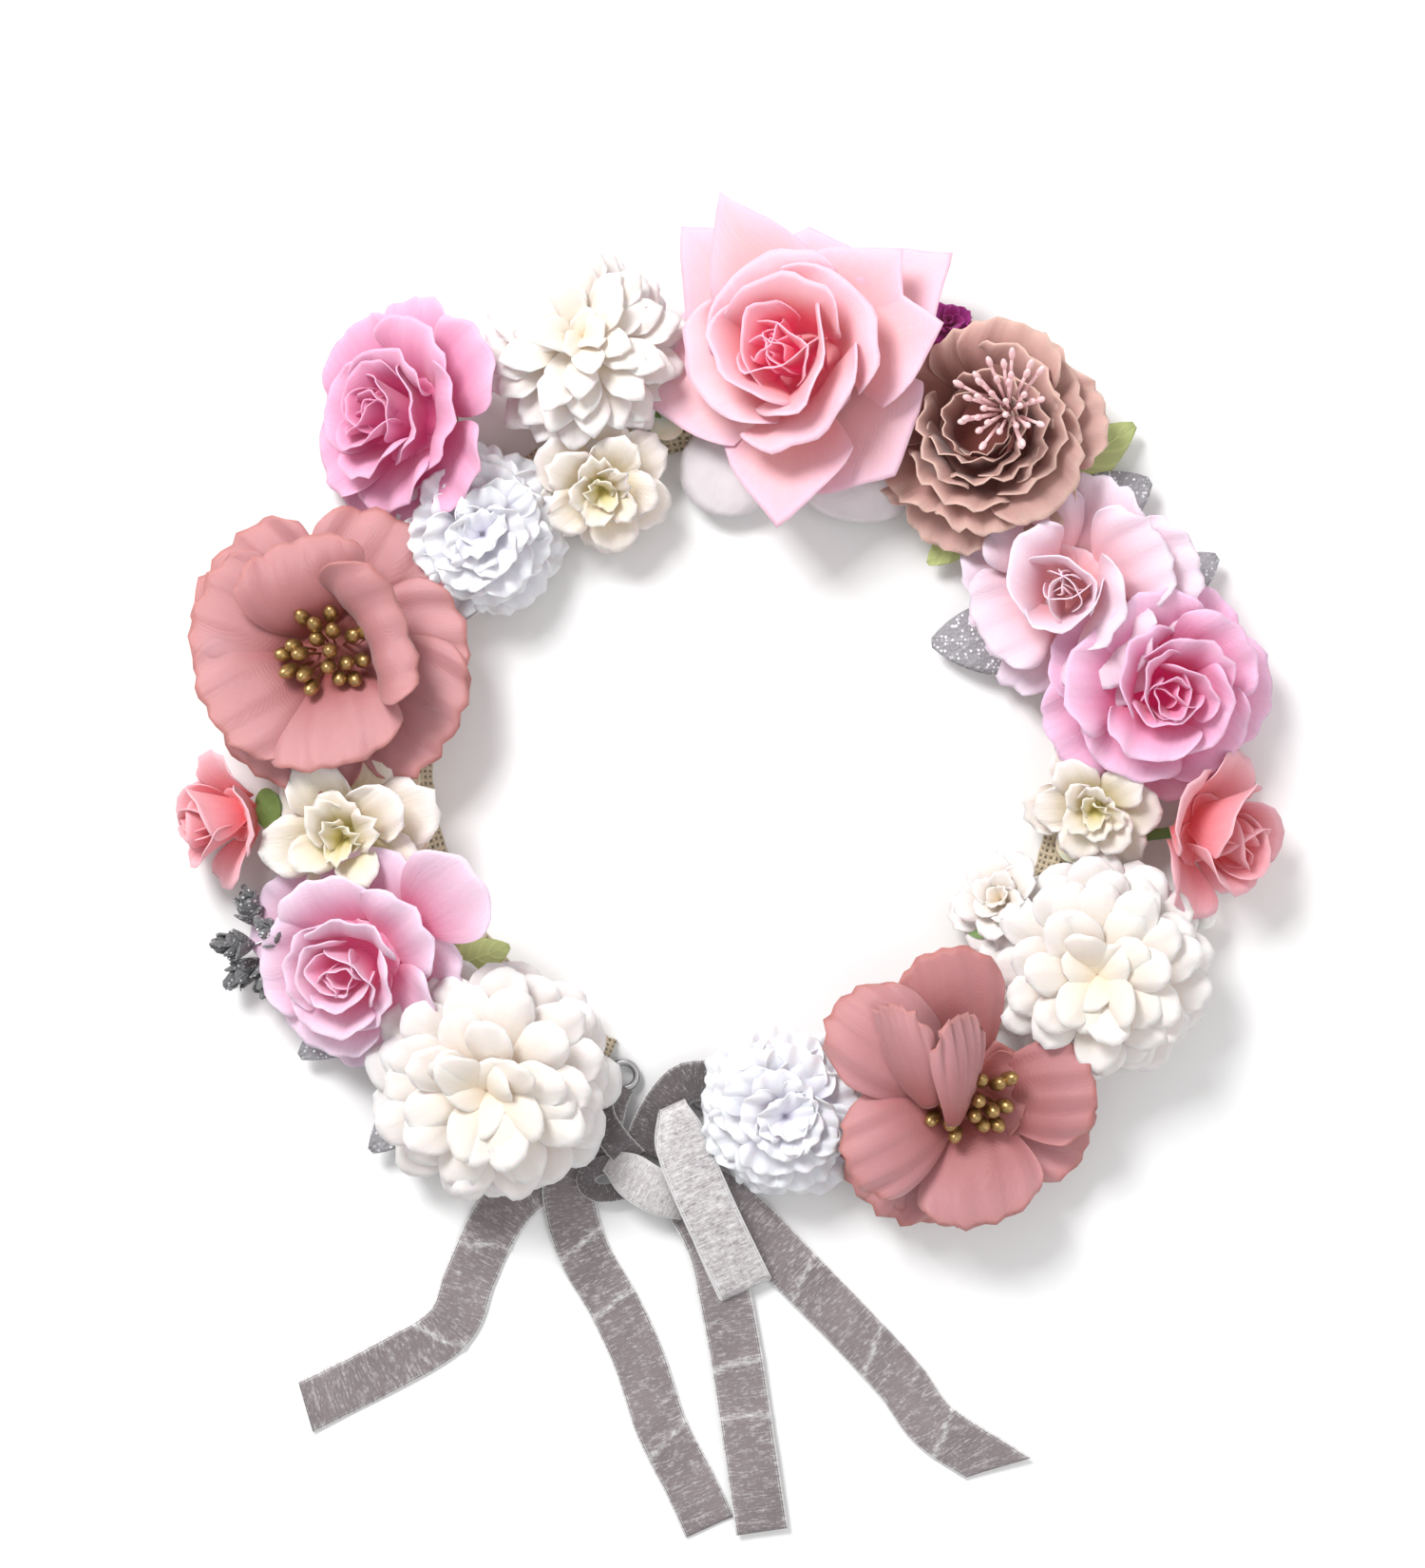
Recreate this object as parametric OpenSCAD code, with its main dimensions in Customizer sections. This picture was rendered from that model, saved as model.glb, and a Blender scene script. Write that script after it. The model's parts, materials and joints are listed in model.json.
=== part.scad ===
// Flower crown: an open wire ring in a folded jute band, with fabric flower heads glued on top,
// and ribbon through the wire eyes at the open back. It lies on a table with the flowers up.
// +Z is up, +Y is the front of the crown, and the origin is the centre of the head opening.

/* [Ring] */
// Radius of the ring, to the middle of the wire
ring_r = 91; // [90:0.5:92]
// Width of the folded jute band, across the ring
band_w = 16; // [15:0.5:17]
// Thickness of the jute band at the wire
band_h = 5; // [4.9:0.1:5]
// Diameter of the steel wire
wire_d = 2; // [1.6:0.1:2]
// Outer diameter of the paper tape wound on the wire
tape_d = 4; // [3.4:0.1:4]
// How far round the ring the left end of the band lies, in degrees
left_end = 246; // [245:0.5:247]
// How far round the ring the right end of the band lies, in degrees
right_end = 267; // [266:0.5:268]

/* [Fastening] */
// Radius of a hot glue pad
pad_r = 5; // [4:0.5:5]
// Height of a hot glue pad
pad_h = 3.5; // [3.3:0.1:3.5]
// Radius of a flower's stalk
stalk_r = 1.5; // [1.2:0.1:1.6]
// Length of the green cup under a flower
cup_h = 5; // [4:0.5:5]
// Radius of the green cup's mouth
cup_r = 5.5; // [4.5:0.5:5.5]

/* [Ribbon] */
// Width of the organza ribbon
ribbon_w = 14; // [12:0.5:14.5]
// Thickness that a laid ribbon takes up
ribbon_t = 0.6; // [0.4:0.1:0.7]
// Inner radius of the wire eyes that hold the ribbon
eye_r = 2.5; // [2.4:0.1:2.8]

/* [Trim] */
// Thickness of a leaf
leaf_t = 0.6; // [0.4:0.1:0.7]
// Radius of a gold stamen's bead
bead_r = 1.3; // [1:0.1:1.4]
// Radius of a pearl berry
pearl_r = 3.2; // [2.6:0.1:3.4]

/* [Hidden] */
$fn = 48;
fit = 0.05;            // clearance round a piece that sits in another
wire_z = 2.5;          // height of the wire's middle
flex_angle = 77;       // where the ring flexes, opposite the gap
flex_gap = 0.7;        // half of the cut at the flex line
flex_notch = 9;        // angle of the notch that lets the left half swing out
pad_z = band_h;        // the pads stand on the band
eye_out = 5.5;         // from the band's end to the middle of an eye, along the ring
stem_z = 1.75;         // height of a stalk's foot above the band, inside its glue pad
stalk_in = 1.8;        // how far a stalk reaches into its cup
knot = [-26, -111];    // middle of the bow's knot

// Each flower: name, angle of its pad round the ring, middle of its head's base, tilt, way it
// tilts, radius, height, shape and colour.
FLOWERS = [
    ["big_rose", 70, [17, 99, 13], 8, 150, 32, 30, "dome", "pink"],
    ["peony", 52, [66, 84, 12], 15, 60, 22, 26, "dome", "rosybrown"],
    ["blush_rose", 30, [90, 46, 12], 18, 120, 18, 26, "dome", "mistyrose"],
    ["orchid_rose", 11, [107, 17, 12], 12, -20, 18, 26, "dome", "plum"],
    ["coral_right", -15, [118, -20, 11], 35, 0, 12, 14, "dome", "lightcoral"],
    ["cream_right", -5, [93, -13, 11], 20, 200, 11, 14, "dome", "seashell"],
    ["mum_right", -29, [95, -53, 12], 5, -30, 25, 28, "dome", "ivory"],
    ["cream_bud", -43, [63, -43, 11.5], 25, 140, 6, 10, "dome", "ivory"],
    ["poppy_right", -56, [54, -87, 12], 8, -60, 27, 20, "bowl", "indianred"],
    ["white_right", -82, [12, -93, 11], 5, 260, 18, 22, "dome", "white"],
    ["mum_left", 231, [-65, -83, 12], 8, 250, 26, 28, "dome", "ivory"],
    ["lilac_left", 208, [-94, -50, 12], 25, 215, 17, 24, "dome", "plum"],
    ["cream_left", 194, [-106, -19, 11], 12, 270, 13, 14, "dome", "seashell"],
    ["coral_left", 184, [-126, -14, 11], 45, 185, 10, 14, "dome", "lightcoral"],
    ["poppy_left", 165, [-107, 27, 12], 5, 180, 29, 20, "bowl", "indianred"],
    ["white_left", 146, [-71, 60, 12], 10, 320, 16, 22, "dome", "white"],
    ["pink_left", 133, [-80, 87, 12], 30, 160, 17, 24, "dome", "hotpink"],
    ["mum_top", 103, [-43, 104, 13], 10, 90, 20, 26, "dome", "ivory"],
    ["cream_top", 116, [-35, 77, 11], 20, 270, 11, 14, "dome", "lemonchiffon"],
    ["magenta_blossom", 61, [53, 111, 12], 30, 75, 6, 4, "dome", "mediumvioletred"]
];

// Each leaf: height above the band, root, tip and width.
GREEN_RIGHT = [[0, [67, 62], [105, 88], 15], [0, [64, 63], [49, 50], 9], [0, [41, 85], [47, 114], 11]];
GREEN_LEFT = [[0, [-78, -62], [-60, -50], 9]];
GLITTER_RIGHT = [[1, [80, 58], [108, 73], 14], [0, [87, 33], [52, 29], 15], [0, [90, 30], [126, 52], 15]];
GLITTER_LEFT = [[0, [-80, -55], [-118, -81], 15], [1, [-66, -72], [-99, -106], 16]];
SATIN = [[pad_h, [28, 84], [-13, 69], 24], [pad_h, [32, 86], [29, 61], 26]];

// Stamens of the open flowers: ring radius at the foot, lean, length and how many stand there.
GOLD_STAMENS = [[0.9, 6, 11, 3], [2.2, 24, 11.5, 7], [3.2, 40, 11, 9]];
PINK_STAMENS = [[0.9, 8, 8, 4], [2.2, 22, 8.5, 7], [3.2, 34, 8, 9]];

// Glitter buds on wire: middle of each bud, and the way it points.
BUDS = [[[-130, -41, 10], 110], [[-123, -47, 15], 140], [[-134, -50, 11], 180],
        [[-126, -58, 9], 260], [[-132, -57, 6], 220]];
PEARLS = [[122, -43, 9], [116, -38, 8]];

// Routes of the ribbons over the table: points in the middle of the ribbon.
TAIL_A = [[-42, -105], [-60, -118], [-67, -127], [-73, -139], [-79, -153], [-116, -174]];
TAIL_B = [[-42, -105], [-46, -116], [-45, -127], [-38, -141], [-29, -159], [-22, -179], [-10, -205]];
TAIL_C = [[-14, -120], [-7, -132], [-4.5, -144], [-1, -165], [5, -206]];
TAIL_D = [[-12, -116], [2, -126], [13, -136], [30, -154], [42, -167], [52, -179], [68, -191]];
BOW_LOOP = [[-16, -93], [-13, -109], [-6, -125], [1, -141]];
ARM_RIGHT = [[-22, -106], [-18, -93], [-10, -88]];
ARM_LEFT = [[-31, -107], [-32, -95]];

PARTS = ["right_wire", "left_wire", "right_tape", "left_tape", "right_jute_band", "left_jute_band",
         "right_glue_pads", "left_glue_pads", "peony_stamens", "poppy_right_stamens",
         "poppy_left_stamens", "green_leaves_right", "green_leaf_left", "glitter_leaves_right",
         "glitter_leaves_left", "satin_leaves", "glitter_buds", "bud_stems", "pearl_berries",
         "pearl_stems", "bow_knot", "bow_loop", "tie_arm_right", "tie_arm_left",
         "left_ribbon_tails", "right_ribbon_tails"];

function is_left(f) = f[1] > flex_angle;
function polar(r, a, z = 0) = [r * cos(a), r * sin(a), z];
function lean(t, a) = [sin(t) * cos(a), sin(t) * sin(a), cos(t)];
function flower(name) = FLOWERS[search([name], FLOWERS)[0]];
function eye(a, way) = polar(ring_r, a + way * eye_out / ring_r * 180 / PI);
function left_eye() = eye(left_end, 1);
function right_eye() = eye(right_end, -1);

module at(p, tilt, toward) {
    translate(p) rotate([0, tilt, toward]) children();
}

// A round rod from one point to another.
module rod(p, q, r) {
    d = q - p;
    translate(p) rotate([0, acos(d.z / norm(d)), atan2(d.y, d.x)]) cylinder(h = norm(d), r = r);
}

// A stretch of ring from one angle to another, with the children as its section about the wire.
module arc(from, to) {
    rotate([0, 0, from]) rotate_extrude(angle = to - from) translate([ring_r, wire_z]) children();
}

module left_arc() {
    arc(flex_angle + flex_gap / ring_r * 180 / PI, left_end) children();
}

module right_arc() {
    arc(right_end - 360, flex_angle - flex_gap / ring_r * 180 / PI) children();
}

module wire_section() {
    circle(r = wire_d / 2);
}

module tape_section() {
    difference() {
        circle(r = tape_d / 2);
        circle(r = wire_d / 2 + fit);
    }
}

// The jute is folded over the wire: flat below, and sloping down to its edges above.
module jute_section() {
    edge = band_w / 2;
    difference() {
        polygon([[-edge, -wire_z], [edge, -wire_z], [edge, 1.2 - wire_z], [3, band_h - wire_z],
                 [-3, band_h - wire_z], [-edge, 1.2 - wire_z]]);
        circle(r = tape_d / 2 + fit);
    }
}

// Beyond the end of the band the wire turns into a flat eye.
module wire_eye(end, middle) {
    start = polar(ring_r, end);
    reach = 1 - (eye_r + wire_d / 2) / norm(middle - start);
    translate([0, 0, wire_z]) {
        rod(start, start + reach * (middle - start), wire_d / 2 - fit);
        translate(middle) rotate_extrude() translate([eye_r + wire_d / 2, 0]) circle(r = wire_d / 2);
    }
}

module right_wire() {
    color("silver") {
        right_arc() wire_section();
        wire_eye(right_end, right_eye());
    }
}

module left_wire() {
    color("silver") {
        left_arc() wire_section();
        wire_eye(left_end, left_eye());
    }
}

module right_tape() {
    color("olivedrab") right_arc() tape_section();
}

module left_tape() {
    color("olivedrab") left_arc() tape_section();
}

module right_jute_band() {
    color("tan") right_arc() jute_section();
}

// The notch outside the wire lets the left half swing outwards about the flex line.
module left_jute_band() {
    color("tan") difference() {
        left_arc() jute_section();
        translate(polar(ring_r - 1, flex_angle, -1)) rotate([0, 0, flex_angle])
            linear_extrude(band_h + 2)
                polygon([[0, -1], [band_w, -1], [band_w, band_w * sin(flex_notch) + flex_gap],
                         [0, flex_gap]]);
    }
}

function pad_at(f) = polar(ring_r, f[1], pad_z);
function cup_foot(f) = f[2] - cup_h * lean(f[3], f[4]);

// A green cup on its stalk, or that shape grown all round by a clearance.
module cup(f, grow = 0) {
    rod(pad_at(f) + [0, 0, stem_z], cup_foot(f) + stalk_in * lean(f[3], f[4]), stalk_r + grow);
    at(cup_foot(f), f[3], f[4])
        cylinder(h = cup_h, r1 = stalk_r + 0.8 + grow, r2 = min(cup_r, f[5] - 0.5) + grow);
}

// The glue has set round the stalk and the foot of the cup.
module glue_pad(f) {
    difference() {
        translate(pad_at(f)) cylinder(h = pad_h, r = pad_r);
        cup(f, fit);
    }
}

module right_glue_pads() {
    color("linen") for (f = FLOWERS) if (!is_left(f)) glue_pad(f);
}

module left_glue_pads() {
    color("linen") for (f = FLOWERS) if (is_left(f)) glue_pad(f);
}

module right_cups() {
    color("darkolivegreen") for (f = FLOWERS) if (!is_left(f)) cup(f);
}

module left_cups() {
    color("darkolivegreen") for (f = FLOWERS) if (is_left(f)) cup(f);
}

// A closed flower head: a dome that is narrow at its foot.
module dome(r, h) {
    foot = min(cup_r, r - 1);
    low = h * 0.42;
    rotate_extrude() polygon(concat([[0, 0], [foot, 0]],
        [for (a = [-50 : 20 : 70]) [r * cos(a), low + (a < 0 ? low : h - low) * sin(a)]],
        [[0, h]]));
}

// An open flower head: a bowl with a floor for the stamens.
module bowl(r, h) {
    rotate_extrude() polygon([[0, 0], [cup_r, 0], [r * 0.6, h * 0.25], [r * 0.9, h * 0.62], [r, h],
        [r * 0.93, h], [r * 0.8, h * 0.68], [r * 0.5, h * 0.4], [4.5, h * 0.3], [0, h * 0.3]]);
}

module head(f) {
    color(f[8]) at(f[2], f[3], f[4]) {
        if (f[7] == "bowl") bowl(f[5], f[6]);
        else dome(f[5], f[6]);
    }
}

module stamen(foot, tilt, turn, length, bead) {
    rotate([0, 0, turn]) translate([foot, 0, 0]) rotate([0, tilt, 0]) {
        cylinder(h = length, r = 0.3, $fn = 16);
        translate([0, 0, length]) sphere(r = bead, $fn = 24);
    }
}

module stamens(f, floor_z, rows, bead) {
    at(f[2], f[3], f[4]) translate([0, 0, floor_z + 0.2]) for (row = rows)
        for (i = [0 : row[3] - 1])
            stamen(row[0], row[1] + 5 * (i % 2), 360 * i / row[3] + 20 * row[0],
                   row[2] - 1.8 * (i % 2), bead);
}

module poppy_left_stamens() {
    f = flower("poppy_left");
    color("darkgoldenrod") stamens(f, f[6] * 0.3, GOLD_STAMENS, bead_r);
}

module poppy_right_stamens() {
    f = flower("poppy_right");
    color("darkgoldenrod") stamens(f, f[6] * 0.3, GOLD_STAMENS, bead_r);
}

module peony_stamens() {
    f = flower("peony");
    color("lightpink") stamens(f, f[6], PINK_STAMENS, 0.7);
}

// A leaf is where two round discs cross, so that both its ends are pointed.
module leaf(l) {
    d = l[2] - l[1];
    long = norm(d);
    r = (long * long / 4 + l[3] * l[3] / 4) / l[3];
    translate([(l[1].x + l[2].x) / 2, (l[1].y + l[2].y) / 2, band_h + l[0]])
        rotate([0, 0, atan2(d.y, d.x)])
        intersection() {
            translate([0, r - l[3] / 2, 0]) cylinder(h = leaf_t, r = r);
            translate([0, l[3] / 2 - r, 0]) cylinder(h = leaf_t, r = r);
        }
}

module leaves(list) {
    for (l = list) leaf(l);
}

module green_leaves_right() {
    color("darkkhaki") leaves(GREEN_RIGHT);
}

module green_leaf_left() {
    color("darkkhaki") leaves(GREEN_LEFT);
}

module glitter_leaves_right() {
    color("gray") leaves(GLITTER_RIGHT);
}

module glitter_leaves_left() {
    color("gray") leaves(GLITTER_LEFT);
}

module satin_leaves() {
    color("whitesmoke") leaves(SATIN);
}

// A glitter bud: a plump spindle.
module bud() {
    rotate_extrude() polygon([[0, -4.5], [1.6, -3.5], [2.9, -1], [2.7, 1], [1.4, 3.4], [0, 5]]);
}

module glitter_buds() {
    color("dimgray") for (b = BUDS) at(b[0], 65, b[1]) bud();
}

module bud_stems() {
    color("gray") for (i = [0 : len(BUDS) - 1])
        rod(polar(ring_r + 5, 198 + 1.5 * i, band_h + 0.4), BUDS[i][0] - 5 * lean(65, BUDS[i][1]), 0.35);
}

module pearl_berries() {
    color("white") for (p = PEARLS) translate(p) sphere(r = pearl_r);
}

module pearl_stems() {
    color("forestgreen") for (i = [0 : len(PEARLS) - 1]) {
        root = polar(ring_r + 4, -24 + 2 * i, band_h + 0.5);
        rod(root, PEARLS[i] + (pearl_r + fit) * (root - PEARLS[i]) / norm(root - PEARLS[i]), 0.5);
    }
}

// A flat ribbon along a route. Its root may be gathered narrower than the rest.
module strip(route, root_w = ribbon_w, w = ribbon_w) {
    last = len(route) - 1;
    way = [for (i = [0 : last]) let (d = route[min(i + 1, last)] - route[max(i - 1, 0)]) d / norm(d)];
    half = [for (i = [0 : last]) (i == 0 ? root_w : w) / 2];
    linear_extrude(ribbon_t) polygon(concat(
        [for (i = [0 : last]) route[i] + half[i] * [-way[i].y, way[i].x]],
        [for (i = [last : -1 : 0]) route[i] - half[i] * [-way[i].y, way[i].x]]));
}

module left_ribbon_tails() {
    p = left_eye();
    color("lightgray") {
        translate([p.x, p.y, 0.1]) cylinder(h = 4.4, r = eye_r - 0.4);
        translate([0, 0, 0.1]) {
            strip([[p.x, p.y], TAIL_A[0]], 3.5, 5);
            strip(TAIL_A, 5);
            strip(TAIL_B, 5);
        }
    }
}

module right_ribbon_tails() {
    color("lightgray") translate([0, 0, 1.1]) {
        translate([knot.x, knot.y, 0]) cylinder(h = 6, r = 2);
        strip(concat([knot], TAIL_C), 6);
        strip(concat([knot], TAIL_D), 6);
    }
}

module bow_knot() {
    color("gainsboro") translate([knot.x, knot.y, 2]) difference() {
        rotate_extrude() polygon([[0, 0], [5, 0], [6.5, 2.5], [6, 5.5], [4, 7], [0, 7]]);
        translate([0, 0, -1]) cylinder(h = 9, r = 2.3);
    }
}

// Room for the knot, cut from what lies against it.
module knot_room() {
    translate([knot.x, knot.y, 0]) cylinder(h = 12, r = 6.6);
}

// The bow's flattened loop lies over the right tails.
module bow_loop() {
    color("gainsboro") difference() {
        for (z = [4.8 : ribbon_t : 8.4]) translate([0, 0, z]) strip(BOW_LOOP, 8);
        knot_room();
    }
}

module tie_arm_right() {
    p = right_eye();
    color("lightgray") difference() {
        union() {
            translate([p.x, p.y, 0.4]) cylinder(h = 4.2, r = eye_r - 0.4);
            translate([0, 0, 4]) strip(ARM_RIGHT, 6, 8);
        }
        knot_room();
    }
}

module tie_arm_left() {
    color("lightgray") difference() {
        translate([0, 0, 2.4]) strip(ARM_LEFT, 6, 6);
        knot_room();
    }
}

right_wire();
left_wire();
right_tape();
left_tape();
right_jute_band();
left_jute_band();
right_glue_pads();
left_glue_pads();
right_cups();
left_cups();
peony_stamens();
poppy_right_stamens();
poppy_left_stamens();
green_leaves_right();
green_leaf_left();
glitter_leaves_right();
glitter_leaves_left();
satin_leaves();
glitter_buds();
bud_stems();
pearl_berries();
pearl_stems();
bow_knot();
bow_loop();
tie_arm_right();
tie_arm_left();
left_ribbon_tails();
right_ribbon_tails();
for (f = FLOWERS) head(f);
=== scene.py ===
"""Looks of a flower crown: fabric flower heads on a jute-covered wire ring, tied with organza."""
import json
import math
from collections import namedtuple
from functools import partialmethod

import bpy
import numpy as np
from bpy.props import FloatProperty, FloatVectorProperty, IntProperty, PointerProperty
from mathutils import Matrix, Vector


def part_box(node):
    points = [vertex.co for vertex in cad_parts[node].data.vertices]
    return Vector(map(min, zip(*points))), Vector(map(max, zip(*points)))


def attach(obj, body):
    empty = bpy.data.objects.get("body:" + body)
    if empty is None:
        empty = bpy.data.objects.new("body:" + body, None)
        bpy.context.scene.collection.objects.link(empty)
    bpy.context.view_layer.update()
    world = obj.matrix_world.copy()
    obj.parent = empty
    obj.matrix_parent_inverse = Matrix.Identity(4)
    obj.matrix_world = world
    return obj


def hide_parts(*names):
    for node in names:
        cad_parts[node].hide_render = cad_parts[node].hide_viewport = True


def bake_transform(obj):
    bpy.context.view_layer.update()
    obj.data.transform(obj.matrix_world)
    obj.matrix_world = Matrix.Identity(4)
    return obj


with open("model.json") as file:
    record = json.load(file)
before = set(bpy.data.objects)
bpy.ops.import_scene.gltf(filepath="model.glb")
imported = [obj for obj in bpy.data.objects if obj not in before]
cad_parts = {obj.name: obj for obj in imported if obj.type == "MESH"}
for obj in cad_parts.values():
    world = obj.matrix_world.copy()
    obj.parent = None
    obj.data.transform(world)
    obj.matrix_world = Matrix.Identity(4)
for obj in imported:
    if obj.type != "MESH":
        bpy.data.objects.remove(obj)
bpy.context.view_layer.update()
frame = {"nodes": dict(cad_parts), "record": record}

bl_info = {
    "name": "Flower Crown",
    "version": (1, 0, 0),
    "blender": (4, 5, 0),
    "location": "View3D > Sidebar > Flower Crown",
    "description": "Petals, ribbon, jute and trim of a flower crown, built round its packed model",
    "category": "Object",
}

MM = 0.001
RIGHT, LEFT = "right_half", "left_half"
RING_RADIUS = frame["record"]["mounts"][1]["pos_m"][0]

CENTRELINE_STEPS = 40           # straight steps in a petal's middle line
TABLE_CLEARANCE = 0.5 * MM      # how far above the table a drooping petal comes to rest
TABLE_EASE = 2.5 * MM           # height over which it eases into lying flat
GOLDEN_ANGLE = 137.5            # degrees from one stamen to the next, as a sunflower sets its seeds
THREAD_PITCH = 0.42 * MM        # from thread to thread in the petals' fabric
WARP_YARNS, WEFT_YARNS = 11, 300    # yarns in half the jute's width, and in its length
BAND_START, BAND_STOP = -93, 246    # the jute band's two ends, in degrees round from +X
GLITTER_CELLS = 1100            # glitter specks along a metre
PETAL_SPREAD = 0.08             # how much petals of one round differ in size and in twist
PETAL_SWAY = 6                  # degrees by which a petal leans more or less than its round
PETAL_WANDER = 7                # degrees by which a petal stands off its even place
FOOT_WIDTH = 0.3                # a petal's width at its foot, as a share of its full width
WIDEST_AT = 0.72                # share of the way along where a petal reaches its full width
RIPPLE_LENGTHS = 9, 4.1         # millimetres of ribbon for one radian of its two ripples
CREASE = 0.7 * MM               # half width, and height, of a crease across the ribbon


# ---------------------------------------------------------------- sizes and colours

def length(name, description, default):
    return FloatProperty(name=name, description=description, default=default, unit="LENGTH", precision=5)


def colour(name, description, default):
    return FloatVectorProperty(name=name, description=description, default=default, size=3,
                               min=0, max=1, subtype="COLOR")


class CrownSizes(bpy.types.PropertyGroup):
    """Sizes of the cloth and trim, in metres."""
    petal: length("Petal thickness", "Thickness of a rose petal's fabric", 0.3 * MM)
    foam_petal: length("Foam petal thickness", "Thickness of an ivory flower's petals", 0.5 * MM)
    ribbon_width: length("Ribbon width", "Width of the organza ribbon", 14 * MM)
    ribbon: length("Ribbon thickness", "Thickness of the organza ribbon", 0.15 * MM)
    jute: length("Jute thickness", "Thickness of the jute cloth", 0.5 * MM)
    bead: length("Stamen bead", "Radius of a gold stamen's bead", 2.05 * MM)
    across: IntProperty(name="Faces across", description="Faces across a large petal", default=20)
    along: IntProperty(name="Faces along", description="Faces along a large petal", default=18)


# Colours of each dye: a flower's heart, its petals' faces and their rims. The heart colour is
# partly the dye's own and partly painted shade in the flower's depths, where it also feeds a
# painted glow.
SHADES = ("heart", "face", "rim")
DYES = {
    "rose": ((0.84, 0.06, 0.19), (0.96, 0.5, 0.42), (0.92, 0.54, 0.67)),
    "orchid": ((0.55, 0.03, 0.14), (0.86, 0.34, 0.56), (0.93, 0.58, 0.78)),
    "pink": ((0.5, 0.05, 0.17), (0.78, 0.29, 0.48), (0.88, 0.47, 0.66)),
    "lilac": ((0.6, 0.1, 0.22), (0.84, 0.45, 0.6), (0.9, 0.68, 0.84)),
    "blush": ((0.76, 0.36, 0.38), (0.92, 0.62, 0.72), (0.9, 0.72, 0.84)),
    "peony": ((0.2, 0.06, 0.05), (0.43, 0.2, 0.165), (0.64, 0.4, 0.36)),
    "poppy": ((0.3, 0.055, 0.045), (0.5, 0.215, 0.24), (0.6, 0.28, 0.3)),
    "ivory": ((0.84, 0.72, 0.58), (0.84, 0.77, 0.74), (0.87, 0.82, 0.82)),
    "white": ((0.74, 0.71, 0.81), (0.87, 0.85, 0.91), (0.92, 0.9, 0.94)),
    "cream": ((0.6, 0.52, 0.18), (0.97, 0.85, 0.74), (0.98, 0.87, 0.84)),
    "coral": ((0.62, 0.07, 0.08), (0.88, 0.34, 0.39), (0.93, 0.5, 0.56)),
    "magenta": ((0.16, 0.01, 0.06), (0.4, 0.02, 0.2), (0.5, 0.05, 0.36)),
}


class CrownColours(bpy.types.PropertyGroup):
    """Colours of the cloth and trim. Each dye adds its heart, face and rim below."""
    gold: colour("Gold", "Antique gold of the stamens", (0.38, 0.24, 0.09))
    organza: colour("Organza", "Body of the organza ribbon", (0.33, 0.275, 0.285))
    # selvedge is the silver of the ribbon's edges, and also the painted highlight on its creases and its
    # painted sheen.
    selvedge: colour("Selvedge", "Silver edges and creases of the ribbon", (0.8, 0.79, 0.79))
    jute: colour("Jute", "Yarns of the band", (0.74, 0.61, 0.43))
    green: colour("Leaf green", "Yellow-green leaves", (0.5, 0.56, 0.22))
    # grey is the glitter leaves' dark grey, partly their own colour and partly painted shade where they
    # lie under the flowers.
    grey: colour("Leaf grey", "Grey of the glitter leaves", (0.33, 0.32, 0.34))


for dye, dye_colours in DYES.items():
    for shade, default in zip(SHADES, dye_colours):
        title = f"{dye.title()} {shade}"
        CrownColours.__annotations__[f"{dye}_{shade}"] = colour(title, f"{title} colour", default)


def sizes():
    return bpy.context.scene.crown_sizes


def colours():
    return bpy.context.scene.crown_colours


# ---------------------------------------------------------------- the forms of the flowers

# One round of petals. Lengths are shares of the flower's radius, and angles are degrees. A petal
# starts at foot from the axis and rise above the base, and leans from upright by lean's first
# angle at its foot and its second at its tip. cup bends it across, roll turns its rim back, frill
# ripples it in that many waves, point draws its tip out, round pulls its shoulders in, swirl tucks
# one side under the next petal, turn is where the first stands or where each one does, tone is how
# far out the round lies (0 at the heart, 1 at the rim), and loose is how freely its petals sway.
# The lower a round's tone, the more of the heart's colour it takes: partly the dye, partly painted
# shade.
RING_FIELDS = "count foot rise long wide lean cup roll frill waves point round swirl turn tone loose"
Ring = namedtuple("Ring", RING_FIELDS, defaults=(0, 0.02, 3, 0, 0.5, 0, 0, 1, 1))

# FLOOR is a disc of petals closing the bottom of the heart; at tone 0 it takes the heart's colour in
# full, partly the dye and partly painted shade.
FLOOR = Ring(5, 0.0, 0.2, 0.42, 0.62, (84, 88), 2, tone=0)
ROSE = [
    FLOOR._replace(tone=0.5),
    Ring(3, 0.01, 0.34, 0.5, 0.3, (2, -10), 120, swirl=0.5, tone=0),
    Ring(3, 0.05, 0.34, 0.54, 0.5, (2, -4), 104, 0.02, swirl=0.5, turn=50, tone=0.05),
    Ring(3, 0.12, 0.3, 0.6, 0.78, (3, 6), 90, 0.07, swirl=0.42, turn=10, tone=0.2),
    Ring(3, 0.19, 0.26, 0.64, 1.04, (4, 20), 76, 0.12, swirl=0.34, turn=70, tone=0.4),
    Ring(4, 0.25, 0.18, 0.62, 1.16, (12, 44), 56, 0.14, swirl=0.22, turn=20, tone=0.6),
    Ring(0, 0.26, 0.11, 0.86, 1.12, (58, 84), 18, 0.03, 0.01, 2, 0.62, 0.0, 0.04,
         (40, 12, 263, 189), tone=0.9),
    Ring(0, 0.26, 0.08, 1.1, 0.96, (66, 84), 14, 0.03, 0.01, 2, 0.66, 0.0, 0.02, (107,), tone=0.9),
    Ring(0, 0.24, 0.03, 1.0, 0.86, (76, 92), 8, 0.03, 0.01, 2, 0.5, 0.0, 0.02,
         (137, 30), tone=1),
    Ring(0, 0.24, 0.05, 0.72, 1.1, (74, 92), 8, 0.03, 0.01, 2, 0.35, 0.1, 0.02,
         (313, 85, 160), tone=1),
]
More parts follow.
